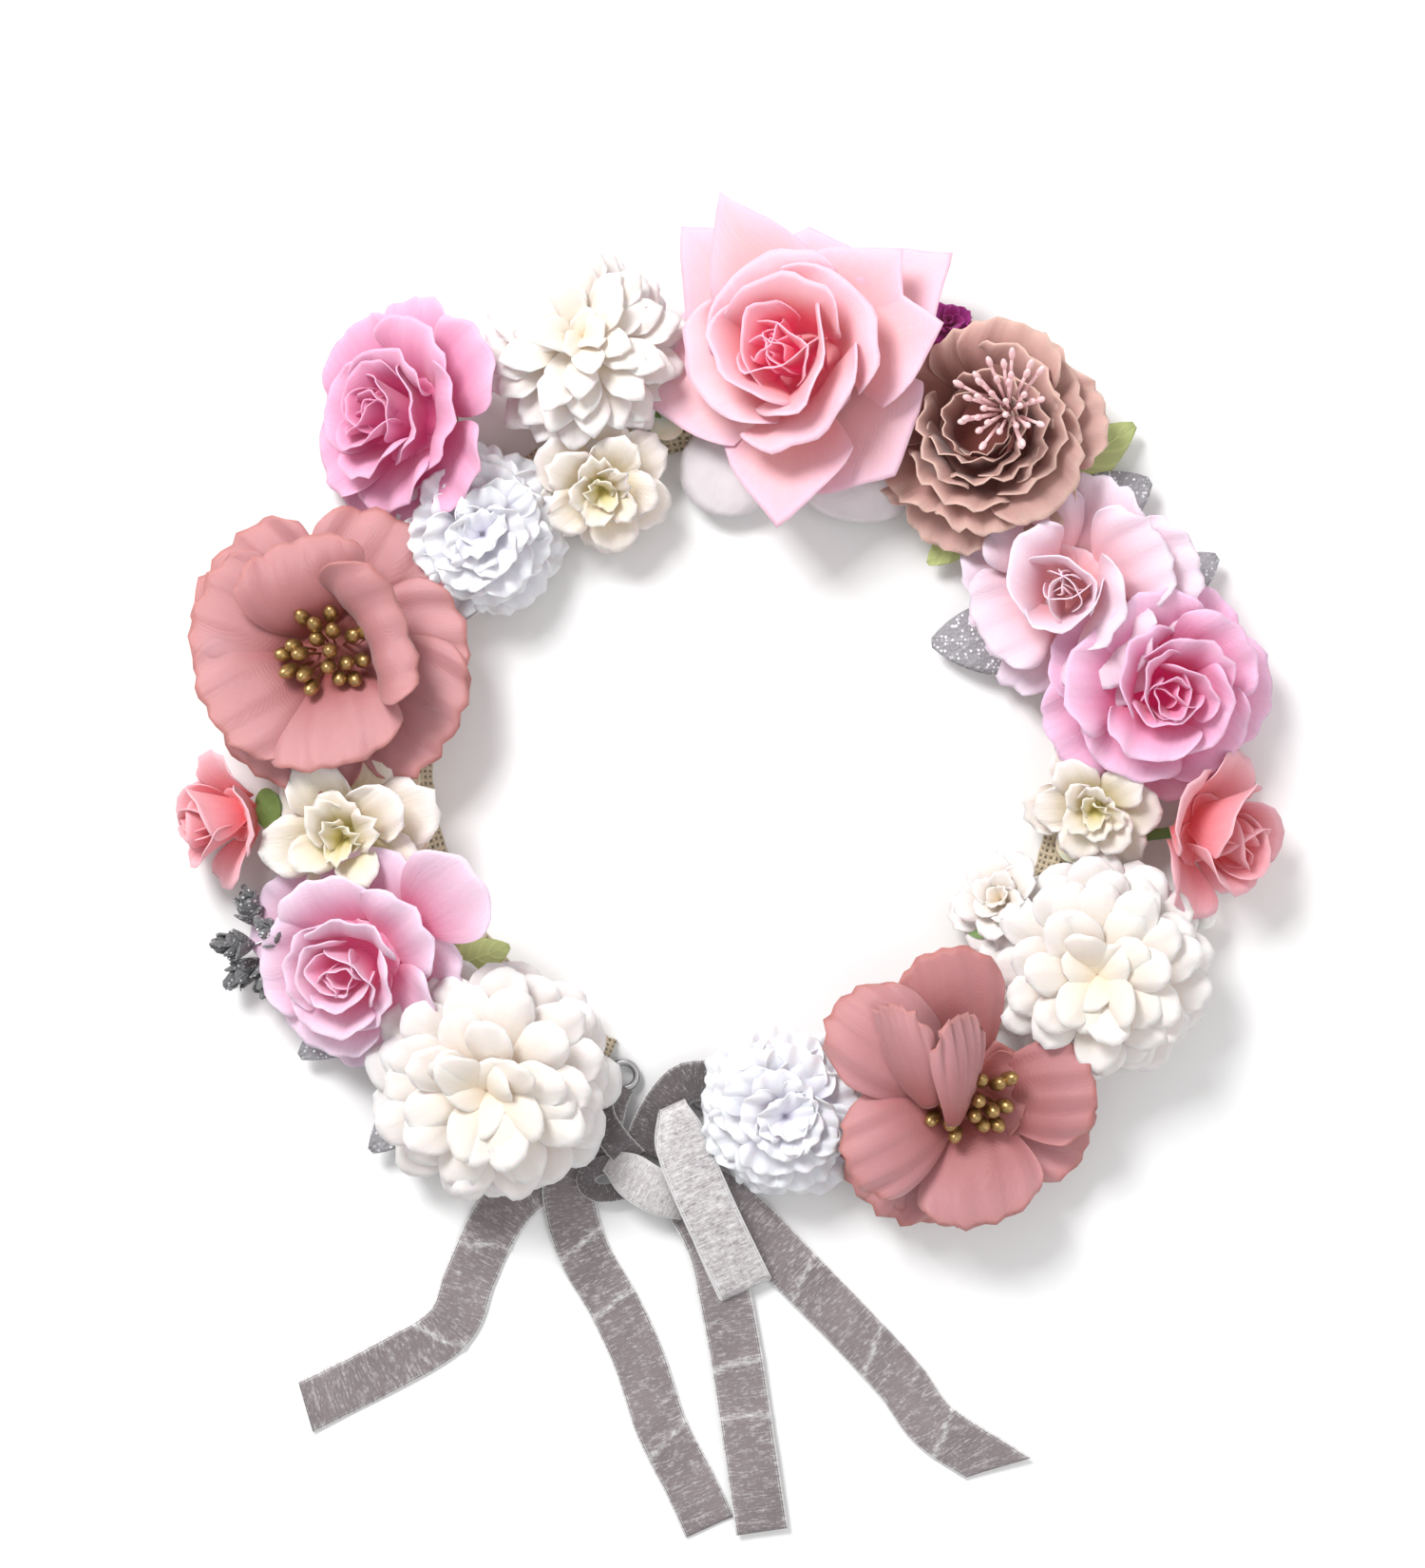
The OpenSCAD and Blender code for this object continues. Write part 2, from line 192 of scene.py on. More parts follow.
GARDEN_ROSE = [
    FLOOR,
    Ring(2, 0.03, 0.34, 0.5, 0.44, (0, -8), 104, 0.01, 0.01, swirl=0.35, turn=20, tone=0),
    Ring(3, 0.1, 0.3, 0.56, 0.64, (0, 8), 86, 0.03, 0.02, swirl=0.35, turn=70, tone=0.2),
    Ring(3, 0.18, 0.26, 0.6, 0.86, (2, 22), 70, 0.05, 0.02, swirl=0.3, turn=20, tone=0.4),
    Ring(4, 0.26, 0.18, 0.66, 1.04, (10, 42), 54, 0.08, 0.03, swirl=0.22, turn=60, tone=0.65),
    Ring(5, 0.28, 0.1, 0.78, 1.1, (38, 68), 32, 0.08, 0.03, swirl=0.12, turn=30, tone=0.85),
    Ring(5, 0.26, 0.03, 0.88, 1.1, (66, 90), 14, 0.05, 0.03, swirl=0.06, turn=0, tone=1),
]
SIDE_PETAL = Ring(0, 0.7, 0.2, 1.14, 1.02, (60, 84), 20, 0.04, 0.02, 2, 0, 0.4, 0, (43,), tone=0.8)
BLUSH_ROSE = [
    FLOOR,
    Ring(3, 0.02, 0.32, 0.62, 0.4, (2, -8), 110, 0.01, 0.01, swirl=0.45, turn=200, tone=0.1),
    Ring(3, 0.09, 0.3, 0.68, 0.68, (0, 0), 96, 0.03, 0.01, swirl=0.42, turn=250, tone=0.25),
    Ring(0, 0.17, 0.26, 0.7, 1.06, (0, 16), 78, 0.08, 0.02, swirl=0.3, turn=(35, 265), tone=0.5),
    Ring(0, 0.24, 0.2, 0.74, 1.1, (10, 46), 56, 0.12, 0.03, swirl=0.2, turn=(150, 330), tone=0.65),
    Ring(4, 0.26, 0.12, 0.82, 1.16, (40, 78), 30, 0.1, 0.045, 4, swirl=0.1, turn=30, tone=0.8),
    Ring(5, 0.26, 0.04, 0.94, 1.16, (68, 90), 16, 0.05, 0.045, 4, swirl=0.05, turn=75, tone=1),
]
PEONY = [
    FLOOR,
    Ring(0, 0.28, 0.26, 0.5, 0.8, (-8, 4), 74, 0.03, 0.03, 4, turn=(300, 20, 180), tone=0.3),
    Ring(0, 0.36, 0.22, 0.58, 1.0, (-6, 10), 64, 0.05, 0.035, 4, turn=(335, 245, 60), tone=0.45),
    Ring(0, 0.44, 0.18, 0.62, 1.14, (-2, 20), 54, 0.07, 0.04, 4, turn=(5, 285, 205), tone=0.6),
    Ring(0, 0.5, 0.12, 0.6, 1.2, (6, 34), 46, 0.07, 0.04, 4, turn=(335, 45, 240), tone=0.75),
    Ring(6, 0.38, 0.06, 0.68, 0.98, (40, 72), 28, 0.06, 0.045, 4, swirl=0.1, turn=32, tone=0.85),
    Ring(6, 0.34, 0.02, 0.76, 1.0, (70, 92), 16, 0.05, 0.045, 4, swirl=0.06, turn=5, tone=1),
    Ring(0, 0.34, 0.12, 0.78, 1.1, (34, 78), 34, 0.1, 0.04, 4, turn=(320, 72), tone=1),
]
MUM = [
    Ring(4, 0.0, 0.5, 0.36, 0.36, (20, 80), -40, 0, 0.01, 2, 0, 0.45, turn=10, tone=0.1, loose=2),
    Ring(6, 0.04, 0.5, 0.54, 0.4, (34, 90), -42, 0, 0.015, 2, 0, 0.45, turn=30, tone=0.2, loose=2.5),
    Ring(8, 0.1, 0.48, 0.6, 0.43, (48, 98), -40, 0, 0.02, 2, 0, 0.45, turn=5, tone=0.4, loose=2.5),
    Ring(10, 0.2, 0.42, 0.64, 0.45, (60, 104), -38, 0, 0.02, 2, 0, 0.45, turn=20, tone=0.5, loose=2),
    Ring(12, 0.31, 0.33, 0.62, 0.45, (68, 108), -36, 0, 0.02, 2, 0, 0.45, turn=0, tone=0.7, loose=2),
    Ring(13, 0.39, 0.21, 0.6, 0.47, (78, 110), -32, 0, 0.02, 2, 0, 0.45, turn=13, tone=0.9),
    Ring(12, 0.43, 0.08, 0.57, 0.5, (88, 110), -28, 0, 0.02, 2, 0, 0.45, turn=2, tone=1),
]
DAHLIA = [ring._replace(wide=ring.wide * 0.8, cup=-14, round=0.2, point=0.2) for ring in MUM]
POPPY_RIGHT = [
    FLOOR,
    Ring(0, 0.1, 0.1, 1.04, 0.78, (52, 88), -16, 0.0, 0.025, 4, -0.02, 0.42, 0.0, (97,), tone=0.35),
    Ring(0, 0.1, 0.14, 0.86, 0.76, (58, 88), -16, 0.0, 0.025, 4, -0.02, 0.42, 0.0, (6,), tone=0.45),
    Ring(0, 0.1, 0.2, 1.3, 0.82, (44, 112), -34, 0.02, 0.03, 4, 0.0, 0.42, 0.1, (137,), tone=0.9),
    Ring(0, 0.1, 0.18, 0.74, 0.9, (50, 96), -24, 0.02, 0.03, 4, -0.02, 0.42, 0.0, (286,), tone=0.7),
    Ring(0, 0.1, 0.22, 0.9, 0.76, (48, 98), -26, 0.02, 0.03, 4, -0.02, 0.42, 0.0, (203,), tone=0.7),
    Ring(0, 0.12, 0.02, 0.84, 0.84, (76, 94), 14, 0.02, 0.04, 4, -0.02, 0.42, 0.05,
         (262, 350, 222), tone=1),
]
FOLDED_PETAL = [
    Ring(0, 0.0, 0.76, 1.0, 0.6, (54, 100), -44, 0.0, 0.04, 6, 0.0, 0.4, 0.0, (95,), tone=0.9),
]
POPPY_LEFT = [
    FLOOR,
    Ring(0, 0.1, 0.16, 0.9, 0.98, (48, 92), -18, 0.0, 0.03, 4, -0.02, 0.4, 0.05,
         (160, 218), tone=0.7),
    Ring(0, 0.1, 0.16, 0.86, 1.0, (44, 92), -18, 0.0, 0.03, 4, -0.02, 0.4, 0.05,
         (278,), tone=0.6),
    Ring(0, 0.14, 0.2, 0.8, 0.92, (26, 92), 14, 0.04, 0.03, 4, -0.02, 0.4, 0.1, (104,), tone=0.6),
    Ring(0, 0.36, 0.2, 0.7, 1.1, (-30, 118), 36, 0.05, 0.03, 4, 0.0, 0.4, 0.1, (24,), tone=0.7),
    Ring(0, 0.12, 0.06, 0.92, 1.04, (72, 92), 12, 0.02, 0.04, 4, -0.02, 0.4, 0.05,
         (248, 326, 62, 136, 4), tone=1),
]
CARNATION = [
    FLOOR,
    Ring(4, 0.02, 0.36, 0.42, 0.52, (16, 60), 50, 0.02, 0.045, 3, turn=0, tone=0.4, loose=2),
    Ring(5, 0.08, 0.34, 0.52, 0.66, (30, 78), 44, 0.03, 0.045, 3, turn=30, tone=0.5, loose=2),
    Ring(6, 0.16, 0.29, 0.58, 0.74, (44, 90), 34, 0.04, 0.045, 3, turn=10, tone=0.6, loose=2),
    Ring(8, 0.24, 0.22, 0.6, 0.76, (60, 98), 28, 0.04, 0.045, 3, turn=25, tone=0.8, loose=2),
    Ring(9, 0.28, 0.13, 0.64, 0.74, (76, 104), 20, 0.03, 0.045, 3, turn=0, tone=0.9),
    Ring(9, 0.28, 0.05, 0.72, 0.74, (90, 106), 16, 0.03, 0.045, 3, turn=16, tone=1),
]
BLOSSOM = [
    FLOOR,
    Ring(3, 0.03, 0.32, 0.46, 0.38, (8, 36), 50, 0.02, 0.04, 3, 0.12, swirl=0.2, turn=20, tone=0.1),
    Ring(5, 0.1, 0.28, 0.6, 0.54, (18, 60), 34, 0.04, 0.05, 3, 0.1, swirl=0.1, turn=0, tone=0.5,
         loose=1.6),
    Ring(5, 0.14, 0.2, 0.78, 0.72, (40, 84), 24, 0.05, 0.05, 3, 0.06, turn=36, tone=0.8, loose=1.6),
    Ring(6, 0.14, 0.08, 0.88, 0.82, (64, 96), 14, 0.05, 0.045, 3, 0.04, turn=5, tone=1),
]
BUD = [
    FLOOR,
    Ring(2, 0.03, 0.3, 0.8, 0.7, (6, -14), 96, 0.0, 0.01, swirl=0.3, turn=20, tone=0.1),
    Ring(3, 0.14, 0.26, 0.86, 1.0, (6, -4), 84, 0.05, 0.01, swirl=0.3, turn=80, tone=0.4),
    Ring(3, 0.22, 0.16, 0.92, 1.3, (18, 22), 70, 0.1, 0.02, swirl=0.2, turn=10, tone=0.7),
    Ring(4, 0.26, 0.05, 0.88, 1.2, (46, 62), 42, 0.1, 0.03, swirl=0.1, turn=60, tone=1),
]

# Each flower: its node, form, colours, radius in millimetres, tilt, the way it tilts, how far it
# is turned about its own axis, how far its middle lies from the node's, in millimetres, and what
# its piece is called after the node's name.
Flower = namedtuple("Flower", "node form dye radius tilt toward spin shift part", defaults=("petals",))
FLOWERS = [
    Flower("big_rose", ROSE, "rose", 40, 19, 165, 0, (2, 2.5)),
    Flower("peony", PEONY, "peony", 29, 11, 165, 0, (-3, -2)),
    Flower("blush_rose", BLUSH_ROSE, "blush", 28, 16, 190, 0, (0, -5)),
    Flower("orchid_rose", GARDEN_ROSE, "orchid", 28.5, 12, -45, 0, (-1, 2.5)),
    Flower("coral_right", BUD, "coral", 23, 50, -20, 0, (-5, 2)),
    Flower("cream_right", BLOSSOM, "cream", 18.5, 18, 230, 0, (2.5, 1.5)),
    Flower("mum_right", MUM, "ivory", 30.5, 8, 225, 0, (-2.5, -2)),
    Flower("cream_bud", BLOSSOM, "ivory", 15, 25, 150, 0, (8, 2.5)),
    Flower("poppy_right", POPPY_RIGHT, "poppy", 39, 6, -60, 0, (3, 0)),
    Flower("poppy_right", FOLDED_PETAL, "poppy", 34, 34, 190, 0, (6.5, 0.5), "folded_petal_left"),
    Flower("poppy_right", FOLDED_PETAL, "poppy", 34, 40, 8, 0, (-17, -9), "folded_petal_right"),
    Flower("white_right", CARNATION, "white", 24, 5, 260, 0, (-1, 0)),
    Flower("magenta_blossom", BLOSSOM, "magenta", 9, 30, 75, 0, (0, 0)),
    Flower("mum_left", MUM, "ivory", 33.5, 8, 250, 20, (-0.5, 0)),
    Flower("lilac_left", [*GARDEN_ROSE, SIDE_PETAL], "lilac", 28, 24, 220, 0, (-2, 0)),
    Flower("cream_left", BLOSSOM, "cream", 26, 12, 230, 10, (2.5, 0.5)),
    Flower("coral_left", BUD, "coral", 18, 58, 190, 30, (0, -1)),
    Flower("poppy_left", POPPY_LEFT, "poppy", 39, 5, 180, 0, (0, 0)),
    Flower("white_left", CARNATION, "white", 24, 10, 320, 0, (0, 0)),
    Flower("pink_left", GARDEN_ROSE, "pink", 29, 42, 172, 100, (1, 0)),
    Flower("mum_top", DAHLIA, "ivory", 28, 10, 90, 5, (1, 0)),
    Flower("cream_top", BLOSSOM, "cream", 20.5, 22, 280, 30, (-3, -2)),
]


# ---------------------------------------------------------------- shader maths

class Tap:
    """A socket of a material's node, on which Python's operators add Math nodes."""

    def __init__(self, finish, socket):
        self.finish = finish
        self.socket = socket

    def math(self, operation, *others, clamp=False):
        settings = {"operation": operation, "use_clamp": clamp}
        return self.finish.node("ShaderNodeMath", settings, self, *others)

    def __rsub__(self, other):
        return self.finish.node("ShaderNodeMath", {"operation": "SUBTRACT"}, other, self)

    __add__ = __radd__ = partialmethod(math, "ADD")
    __sub__ = partialmethod(math, "SUBTRACT")
    __mul__ = partialmethod(math, "MULTIPLY")
    __pow__ = partialmethod(math, "POWER")
    __gt__ = partialmethod(math, "GREATER_THAN")
    __lt__ = partialmethod(math, "LESS_THAN")
    __abs__ = partialmethod(math, "ABSOLUTE")
    clamp = partialmethod(math, "ADD", 0, clamp=True)
    fract = partialmethod(math, "FRACT")
    sine = partialmethod(math, "SINE")
    highest = partialmethod(math, "MAXIMUM")


class Finish:
    """A material with one Principled shader, and the calls that add nodes to it."""

    def __init__(self, name, **uniform):
        self.material = bpy.data.materials.new(name)
        self.material.use_nodes = True
        self.tree = self.material.node_tree
        self.shader = self.tree.nodes["Principled BSDF"]
        for socket, value in uniform.items():
            self.shader.inputs[socket.replace("_", " ")].default_value = value

    def node(self, kind, settings, *values, out=0, **named):
        made = self.tree.nodes.new(kind)
        for key, value in settings.items():
            setattr(made, key, value)
        for key, value in list(enumerate(values)) + list(named.items()):
            self.feed(made.inputs[key if isinstance(key, int) else key.replace("_", " ")], value)
        return Tap(self, made.outputs[out])

    def feed(self, socket, value):
        if isinstance(value, Tap):
            self.tree.links.new(value.socket, socket)
        elif hasattr(value, "__len__") and len(value) == 3 and socket.type == "RGBA":
            socket.default_value = (*value, 1)
        else:
            socket.default_value = value

    def set(self, **sockets):
        for name, value in sockets.items():
            self.feed(self.shader.inputs[name.replace("_", " ")], value)

    def place(self):
        return self.node("ShaderNodeTexCoord", {}, out=3)

    def cloth(self):
        """Where a point lies on its own cloth: -1 to 1 across, 0 to 1 along, and both together."""
        both = self.node("ShaderNodeUVMap", {"uv_map": "UVMap"})
        across = self.node("ShaderNodeSeparateXYZ", {}, both)
        along = Tap(self, across.socket.node.outputs[1])
        return across * 2 - 1, along, both

    def mark(self, name):
        return self.node("ShaderNodeAttribute", {"attribute_name": name}, out=2)

    def noise(self, where, scale, detail=2.0, roughness=0.5, stretch=None):
        if stretch:
            where = self.node("ShaderNodeVectorMath", {"operation": "MULTIPLY"}, where, stretch)
        return self.node("ShaderNodeTexNoise", {}, Vector=where, Scale=scale, Detail=detail,
                         Roughness=roughness)

    def cells(self, where, scale, out=0):
        return self.node("ShaderNodeTexVoronoi", {}, Vector=where, Scale=scale, out=out)

    def mix(self, factor, first, second, blend="MIX"):
        settings = {"data_type": "RGBA", "blend_type": blend}
        made = self.node("ShaderNodeMix", settings, factor, out=2)
        inputs = made.socket.node.inputs
        self.feed(inputs[6], first)
        self.feed(inputs[7], second)
        return made

    def bump(self, height, distance, strength=1.0):
        self.set(Normal=self.node("ShaderNodeBump", {}, Height=height, Distance=distance,
                                  Strength=strength))


def weave(finish, where):
    """Fine plain weave: threads both ways, seen as two sets of low ridges."""
    turns = 2 * math.pi / THREAD_PITCH
    parts = finish.node("ShaderNodeSeparateXYZ", {}, where)
    outputs = parts.socket.node.outputs
    ridges = [(Tap(finish, outputs[i]) * turns).sine() for i in range(3)]
    return ridges[0] * ridges[1] + ridges[2] * 0.5


def petal_finish(dye, satin=False, foam=False, edge_and_highlight=None, edging=0.25, veins=1.0, glow=0.3,
                 core=0.0):
    """Pressed fabric petals: darker at the heart and foot, paler at the face and rim. The heart's
    colour there is partly the dye and partly painted shade in the flower's depths, and the pale
    rims are partly painted highlight. The depths also glow in the heart's colour, as strongly as glow
    sets: a painted glow for the light that comes through the thin cloth. A larger core keeps the
    heart's colour to the innermost rounds."""
    tint = colours()
    heart, face, rim = (tuple(getattr(tint, f"{dye}_{shade}")) for shade in SHADES)
    # By default the margins take a paler rim colour, a painted highlight along the petals' rims.
    edge_and_highlight = edge_and_highlight or tuple(min(0.97, c * 1.15 + 0.03) for c in rim)
    finish = Finish(f"{dye}_petals", Subsurface_Weight=0.12, Subsurface_Scale=0.002,
                    Sheen_Weight=0.15 if foam else 0.25, Sheen_Roughness=0.45,
                    Specular_IOR_Level=0.55 if satin else 0.22, Emission_Strength=glow)
    across, along, both = finish.cloth()
    ring, tone = finish.mark("ring"), finish.mark("tone")
    where = finish.place()
    cloud = finish.noise(where, 90, 3)
    # depth: darker towards the petal's foot and the inner rounds, partly the dye and partly painted
    # shade in the flower's depths.
    depth = ((1 - along) ** 1.5 + (1 - ring) ** 2 * 0.6 + (cloud - 0.5) * 0.35).clamp()
    outer = (along ** 2.2 * 0.7 + ring * 0.4 + (cloud - 0.5) * 0.3).clamp()
    body = finish.mix(outer, face, rim)
    heart_and_shade = (depth ** 1.15 * (1 - ring * core).clamp()).clamp()
    body = finish.mix(heart_and_shade, body, heart)
    body = finish.mix(tone * 0.2, body, (1, 1, 1), "SOFT_LIGHT")
    pleats = finish.noise(both, 1.0, 3, 0.6, (30.0, 2.5, 1.0))
    body = finish.mix(pleats * 0.3 * veins, body, tuple(c * 0.7 for c in face), "MULTIPLY")
    fray = finish.noise(both, 1.0, 3, 0.7, (22.0, 22.0, 1.0))
    # Petal margins take this colour: a pale one by default and on the peony, partly painted highlight
    # along the rims; a dark one on the poppy, the colour of its frayed cloth.
    margin = (abs(across) ** 14).highest(along ** 18) * (0.4 + fray * 1.2)
    body = finish.mix((margin * edging * 1.6).clamp(), body, edge_and_highlight)
    threads = weave(finish, where)
    height = threads * (0.1 if foam else 0.3) + pleats * 2.4 * veins
    finish.bump(height + finish.noise(where, 420, 3) * 1.1, 0.00022, 0.5)
    finish.set(Base_Color=body, Roughness=(0.3 if satin else 0.68) + cloud * 0.12,
               # Emission in the heart's colour where the petal lies in the flower's depths: a painted
               # glow for light coming through the thin cloth.
               Emission_Color=finish.mix(heart_and_shade, (0, 0, 0), heart))
    return finish.material


def organza_finish(name="organza", pale=0.0, solid=0.0, depth=1.0):
    """Sheer organza: fine shiny threads, silver selvedges, creases painted bright as a painted highlight
    and long bands of painted sheen. Doubled cloth is given as paler and more solid, and gathered
    cloth with less depth to its colour."""
    tint = colours()
    finish = Finish(name, Specular_IOR_Level=0.6, Sheen_Weight=0.25, Sheen_Roughness=0.3)
    across, along, both = finish.cloth()
    crease_highlight = finish.mark("ring")
    where = finish.place()
    thread = finish.noise(both, 1.0, 4, 0.7, (6.0, 240.0, 1.0))
    painted_sheen = finish.noise(both, 1.0, 3, 0.6, (2.5, 60.0, 1.0))
    fleck = finish.noise(where, 1100, 2, 0.7)
    shade = finish.noise(where, 60, 2)
    selvedge = (abs(across) > 0.94) * 0.9 + (abs(abs(across) - 0.88) < 0.015) * 0.4
    # Toward the silver go the selvedges, threads and flecks of the cloth itself, and a painted highlight
    # on the creases and painted sheen in long bands.
    bright = (selvedge + crease_highlight * 0.6 + (thread - 0.5) * 1.8 + (painted_sheen - 0.5) * 1.3
              + (fleck - 0.5) * 0.9 + pale).clamp()
    full = tuple(c * depth for c in tint.organza)
    body = finish.mix((shade * 1.6 - 0.3).clamp(), tuple(c * 0.62 for c in full), full)
    body = finish.mix(bright, body, tuple(tint.selvedge))
    finish.set(Base_Color=body, Roughness=0.32 + thread * 0.3,
               Alpha=(0.78 + solid + bright * 0.2 + (thread - 0.5) * 0.5).clamp())
    finish.bump(thread + fleck * 0.8, 0.00012, 0.6)
    return finish.material


def jute_finish():
    """Open plain weave of coarse jute yarns, with holes between them, darkened between the yarns as
    painted shade.
    """
    finish = Finish("jute_weave", Roughness=0.9, Specular_IOR_Level=0.15, Sheen_Weight=0.2)
    across, along, both = finish.cloth()
    wobble = finish.noise(both, 1.0, 2, 0.5, (14.0, 150.0, 1.0)) - 0.5
    warp = (across * WARP_YARNS + wobble * 0.8).fract() - 0.5
    weft = (along * WEFT_YARNS + wobble * 0.9).fract() - 0.5
    over = ((across * WARP_YARNS * math.pi).sine() * (along * WEFT_YARNS * math.pi).sine()) * 0.5 + 0.5
    warp_yarn = (0.36 - abs(warp)) * 2.8
    weft_yarn = (0.36 - abs(weft)) * 2.8
    yarn = warp_yarn.highest(weft_yarn)
    fibre = finish.noise(both, 1.0, 4, 0.7, (90.0, 2400.0, 1.0))
    tint = tuple(colours().jute)
    body = finish.mix(fibre, tuple(c * 0.5 for c in tint), tuple(min(1, c * 1.35) for c in tint))
    # Between the yarns the colour darkens: painted shade in the gaps of the weave.
    body = finish.mix((1 - yarn.clamp()) * 0.55, body, tuple(c * 0.3 for c in tint))
    finish.set(Base_Color=body, Alpha=(yarn * 9 + 0.4).clamp())
    finish.bump(yarn + over * 0.6 + fibre * 0.3, 0.0006, 0.8)
    return finish.material


def mottled_finish(name, dark, light, mottle, gloss=None, grain=None, **uniform):
    """A material mottled between two colours. mottle and grain are their noises' scale, detail and
    so on, with the bump's depth and strength at the end of grain. gloss is the roughness of the
    dark patches and how much more the light ones have."""
    finish = Finish(name, **uniform)
    where = finish.place()
    patches = finish.noise(where, *mottle)
    finish.set(Base_Color=finish.mix(patches, dark, light))
    if gloss:
        finish.set(Roughness=gloss[0] + patches * gloss[1])
    if grain:
        *noise, depth, strength = grain
        finish.bump(finish.noise(where, *noise), depth, strength)
    return finish.material


def crepe_finish():
    """Crepe-paper florist's tape, stretched in lines."""
    return mottled_finish("florists_tape", (0.1, 0.16, 0.05), (0.2, 0.27, 0.1), (120, 2),
                          grain=(700, 3, 0.6, 0.0003, 0.7), Roughness=0.85, Specular_IOR_Level=0.2)


def steel_finish():
    """Drawn wire: bright, with fine lines and dull spots."""
    return mottled_finish("drawn_steel", (0.36, 0.36, 0.37), (0.66, 0.66, 0.67), (500, 4, 0.6),
                          (0.24, 0.3), (2200, 2, 0.00003, 0.5), Metallic=1.0)


def glue_finish():
    """Set hot glue: cloudy, yellowish and glossy."""
    return mottled_finish("hot_glue", (0.78, 0.7, 0.5), (0.9, 0.86, 0.74), (260, 3),
                          grain=(330, 2, 0.0004, 0.6), Roughness=0.22, Coat_Weight=0.4,
                          Subsurface_Weight=0.5, Subsurface_Scale=0.003)


def moulded_finish(name, dark, light, gloss=0.45):
    """Moulded plastic stems and cups, mottled and lightly ribbed."""
    return mottled_finish(name, dark, light, (240, 4, 0.6), (gloss, 0.2),
                          (900, 2, 0.5, (1.0, 1.0, 0.25), 0.0002, 0.5), Specular_IOR_Level=0.4)


def gold_finish():
    """Antique gold lacquer: bright on the bead and dark where it is worn."""
    tint = tuple(colours().gold)
    return mottled_finish("antique_gold", tuple(c * 0.45 for c in tint),
                          tuple(min(1, c * 1.7) for c in tint), (800, 3, 0.6), (0.22, 0.25),
                          (1500, 2, 0.00006, 0.5), Metallic=0.85, Coat_Weight=0.3, Coat_Roughness=0.2)


def pearl_finish():
    """Pearly lacquer over a smooth bead."""
    return mottled_finish("pearl_lacquer", (0.84, 0.86, 0.8), (0.95, 0.94, 0.96), (260, 3),
                          (0.22, 0.15), (900, 2, 0.00003, 0.4), Coat_Weight=0.8, Coat_Roughness=0.12,
                          Subsurface_Weight=0.3, Subsurface_Scale=0.002)


def floor_finish():
    """A pale, matt table top."""
    return mottled_finish("pale_table", (0.93, 0.93, 0.93), (0.96, 0.96, 0.96), (3, 2),
                          Roughness=0.9, Specular_IOR_Level=0.1)


def leaf_finish(name, tint, glitter=0.0, satin=False):
    """A pressed leaf or satin lobe: midrib, side veins and, on some, glitter."""
    finish = Finish(name, Specular_IOR_Level=0.5, Sheen_Weight=0.15)
    across, along, _ = finish.cloth()
    where = finish.place()
    rib = (1 - abs(across) * 14).clamp()
    side = ((along * 46 - abs(across) * 9).sine() * 0.5 + 0.5) ** 6
    cloud = finish.noise(where, 70, 3)
    body = finish.mix(cloud, tuple(c * 0.7 for c in tint), tuple(min(1, c * 1.25) for c in tint))
    veined = 0.0 if satin else 0.5
    body = finish.mix((rib + side * 0.4) * veined, body, tuple(min(1, c * 1.6) for c in tint))
    height = (rib * 2 + side) * (0.0 if satin else 1.0) + finish.noise(where, 500, 2) * 0.6
    if glitter:
        # A random share of the glitter cells are made near white and shinier: partly the flakes' own
        # silver, partly painted glint.
        speck = finish.cells(where, GLITTER_CELLS)
        flake_glint = ((finish.cells(where, GLITTER_CELLS, out=1) > 0.62) * (0.5 - speck) * 4).clamp() * glitter
        body = finish.mix(flake_glint, body, (0.95, 0.95, 1.0))
        finish.set(Metallic=flake_glint * 0.8, Roughness=0.62 - flake_glint * 0.4)
        height = height + speck * 3
    else:
        finish.set(Roughness=(0.2 if satin else 0.5) + cloud * 0.15)
    finish.set(Base_Color=body)
    finish.bump(height, 0.00018, 0.6)
    return finish.material


# ---------------------------------------------------------------- mesh helpers

def clear_selection():
    if bpy.context.object and bpy.context.object.mode != "OBJECT":
        bpy.ops.object.mode_set(mode="OBJECT")
    bpy.ops.object.select_all(action="DESELECT")


def pick(piece):
    clear_selection()
    piece.select_set(True)
    bpy.context.view_layer.objects.active = piece


def added(name):
    piece = bpy.context.object
    piece.name = name
    piece.data.name = name
    return piece


def apply_modifier(piece, kind, **settings):
    pick(piece)
    modifier = piece.modifiers.new(kind.title(), kind)
    for key, value in settings.items():
        setattr(modifier, key, value)
    bpy.ops.object.modifier_apply(modifier=modifier.name)


def cloth_sheet(name, across, along, copies=1):
    """Flat grids of cloth, one for each copy. Returns the piece, u across from -1 to 1, v along
    from 0 to 1 and each point's copy number."""
    clear_selection()
    bpy.ops.mesh.primitive_grid_add(x_subdivisions=across, y_subdivisions=along, size=1)
    piece = added(name)
    flat = np.empty(len(piece.data.vertices) * 3)
    piece.data.vertices.foreach_get("co", flat)
    flat = flat.reshape(-1, 3)
    if copies > 1:
        apply_modifier(piece, "ARRAY", count=copies, use_relative_offset=False,
                       use_constant_offset=True, constant_offset_displace=(2, 0, 0))
    number = np.repeat(np.arange(copies), len(flat))
    return piece, np.tile(flat[:, 0] * 2, copies), np.tile(flat[:, 1] + 0.5, copies), number


def set_points(piece, points):
    piece.data.vertices.foreach_set("co", np.asarray(points, dtype=float).ravel())
    piece.data.update()


def set_mark(piece, name, values):
    layer = piece.data.attributes.new(name, "FLOAT", "POINT")
    layer.data.foreach_set("value", np.asarray(values, dtype=float))


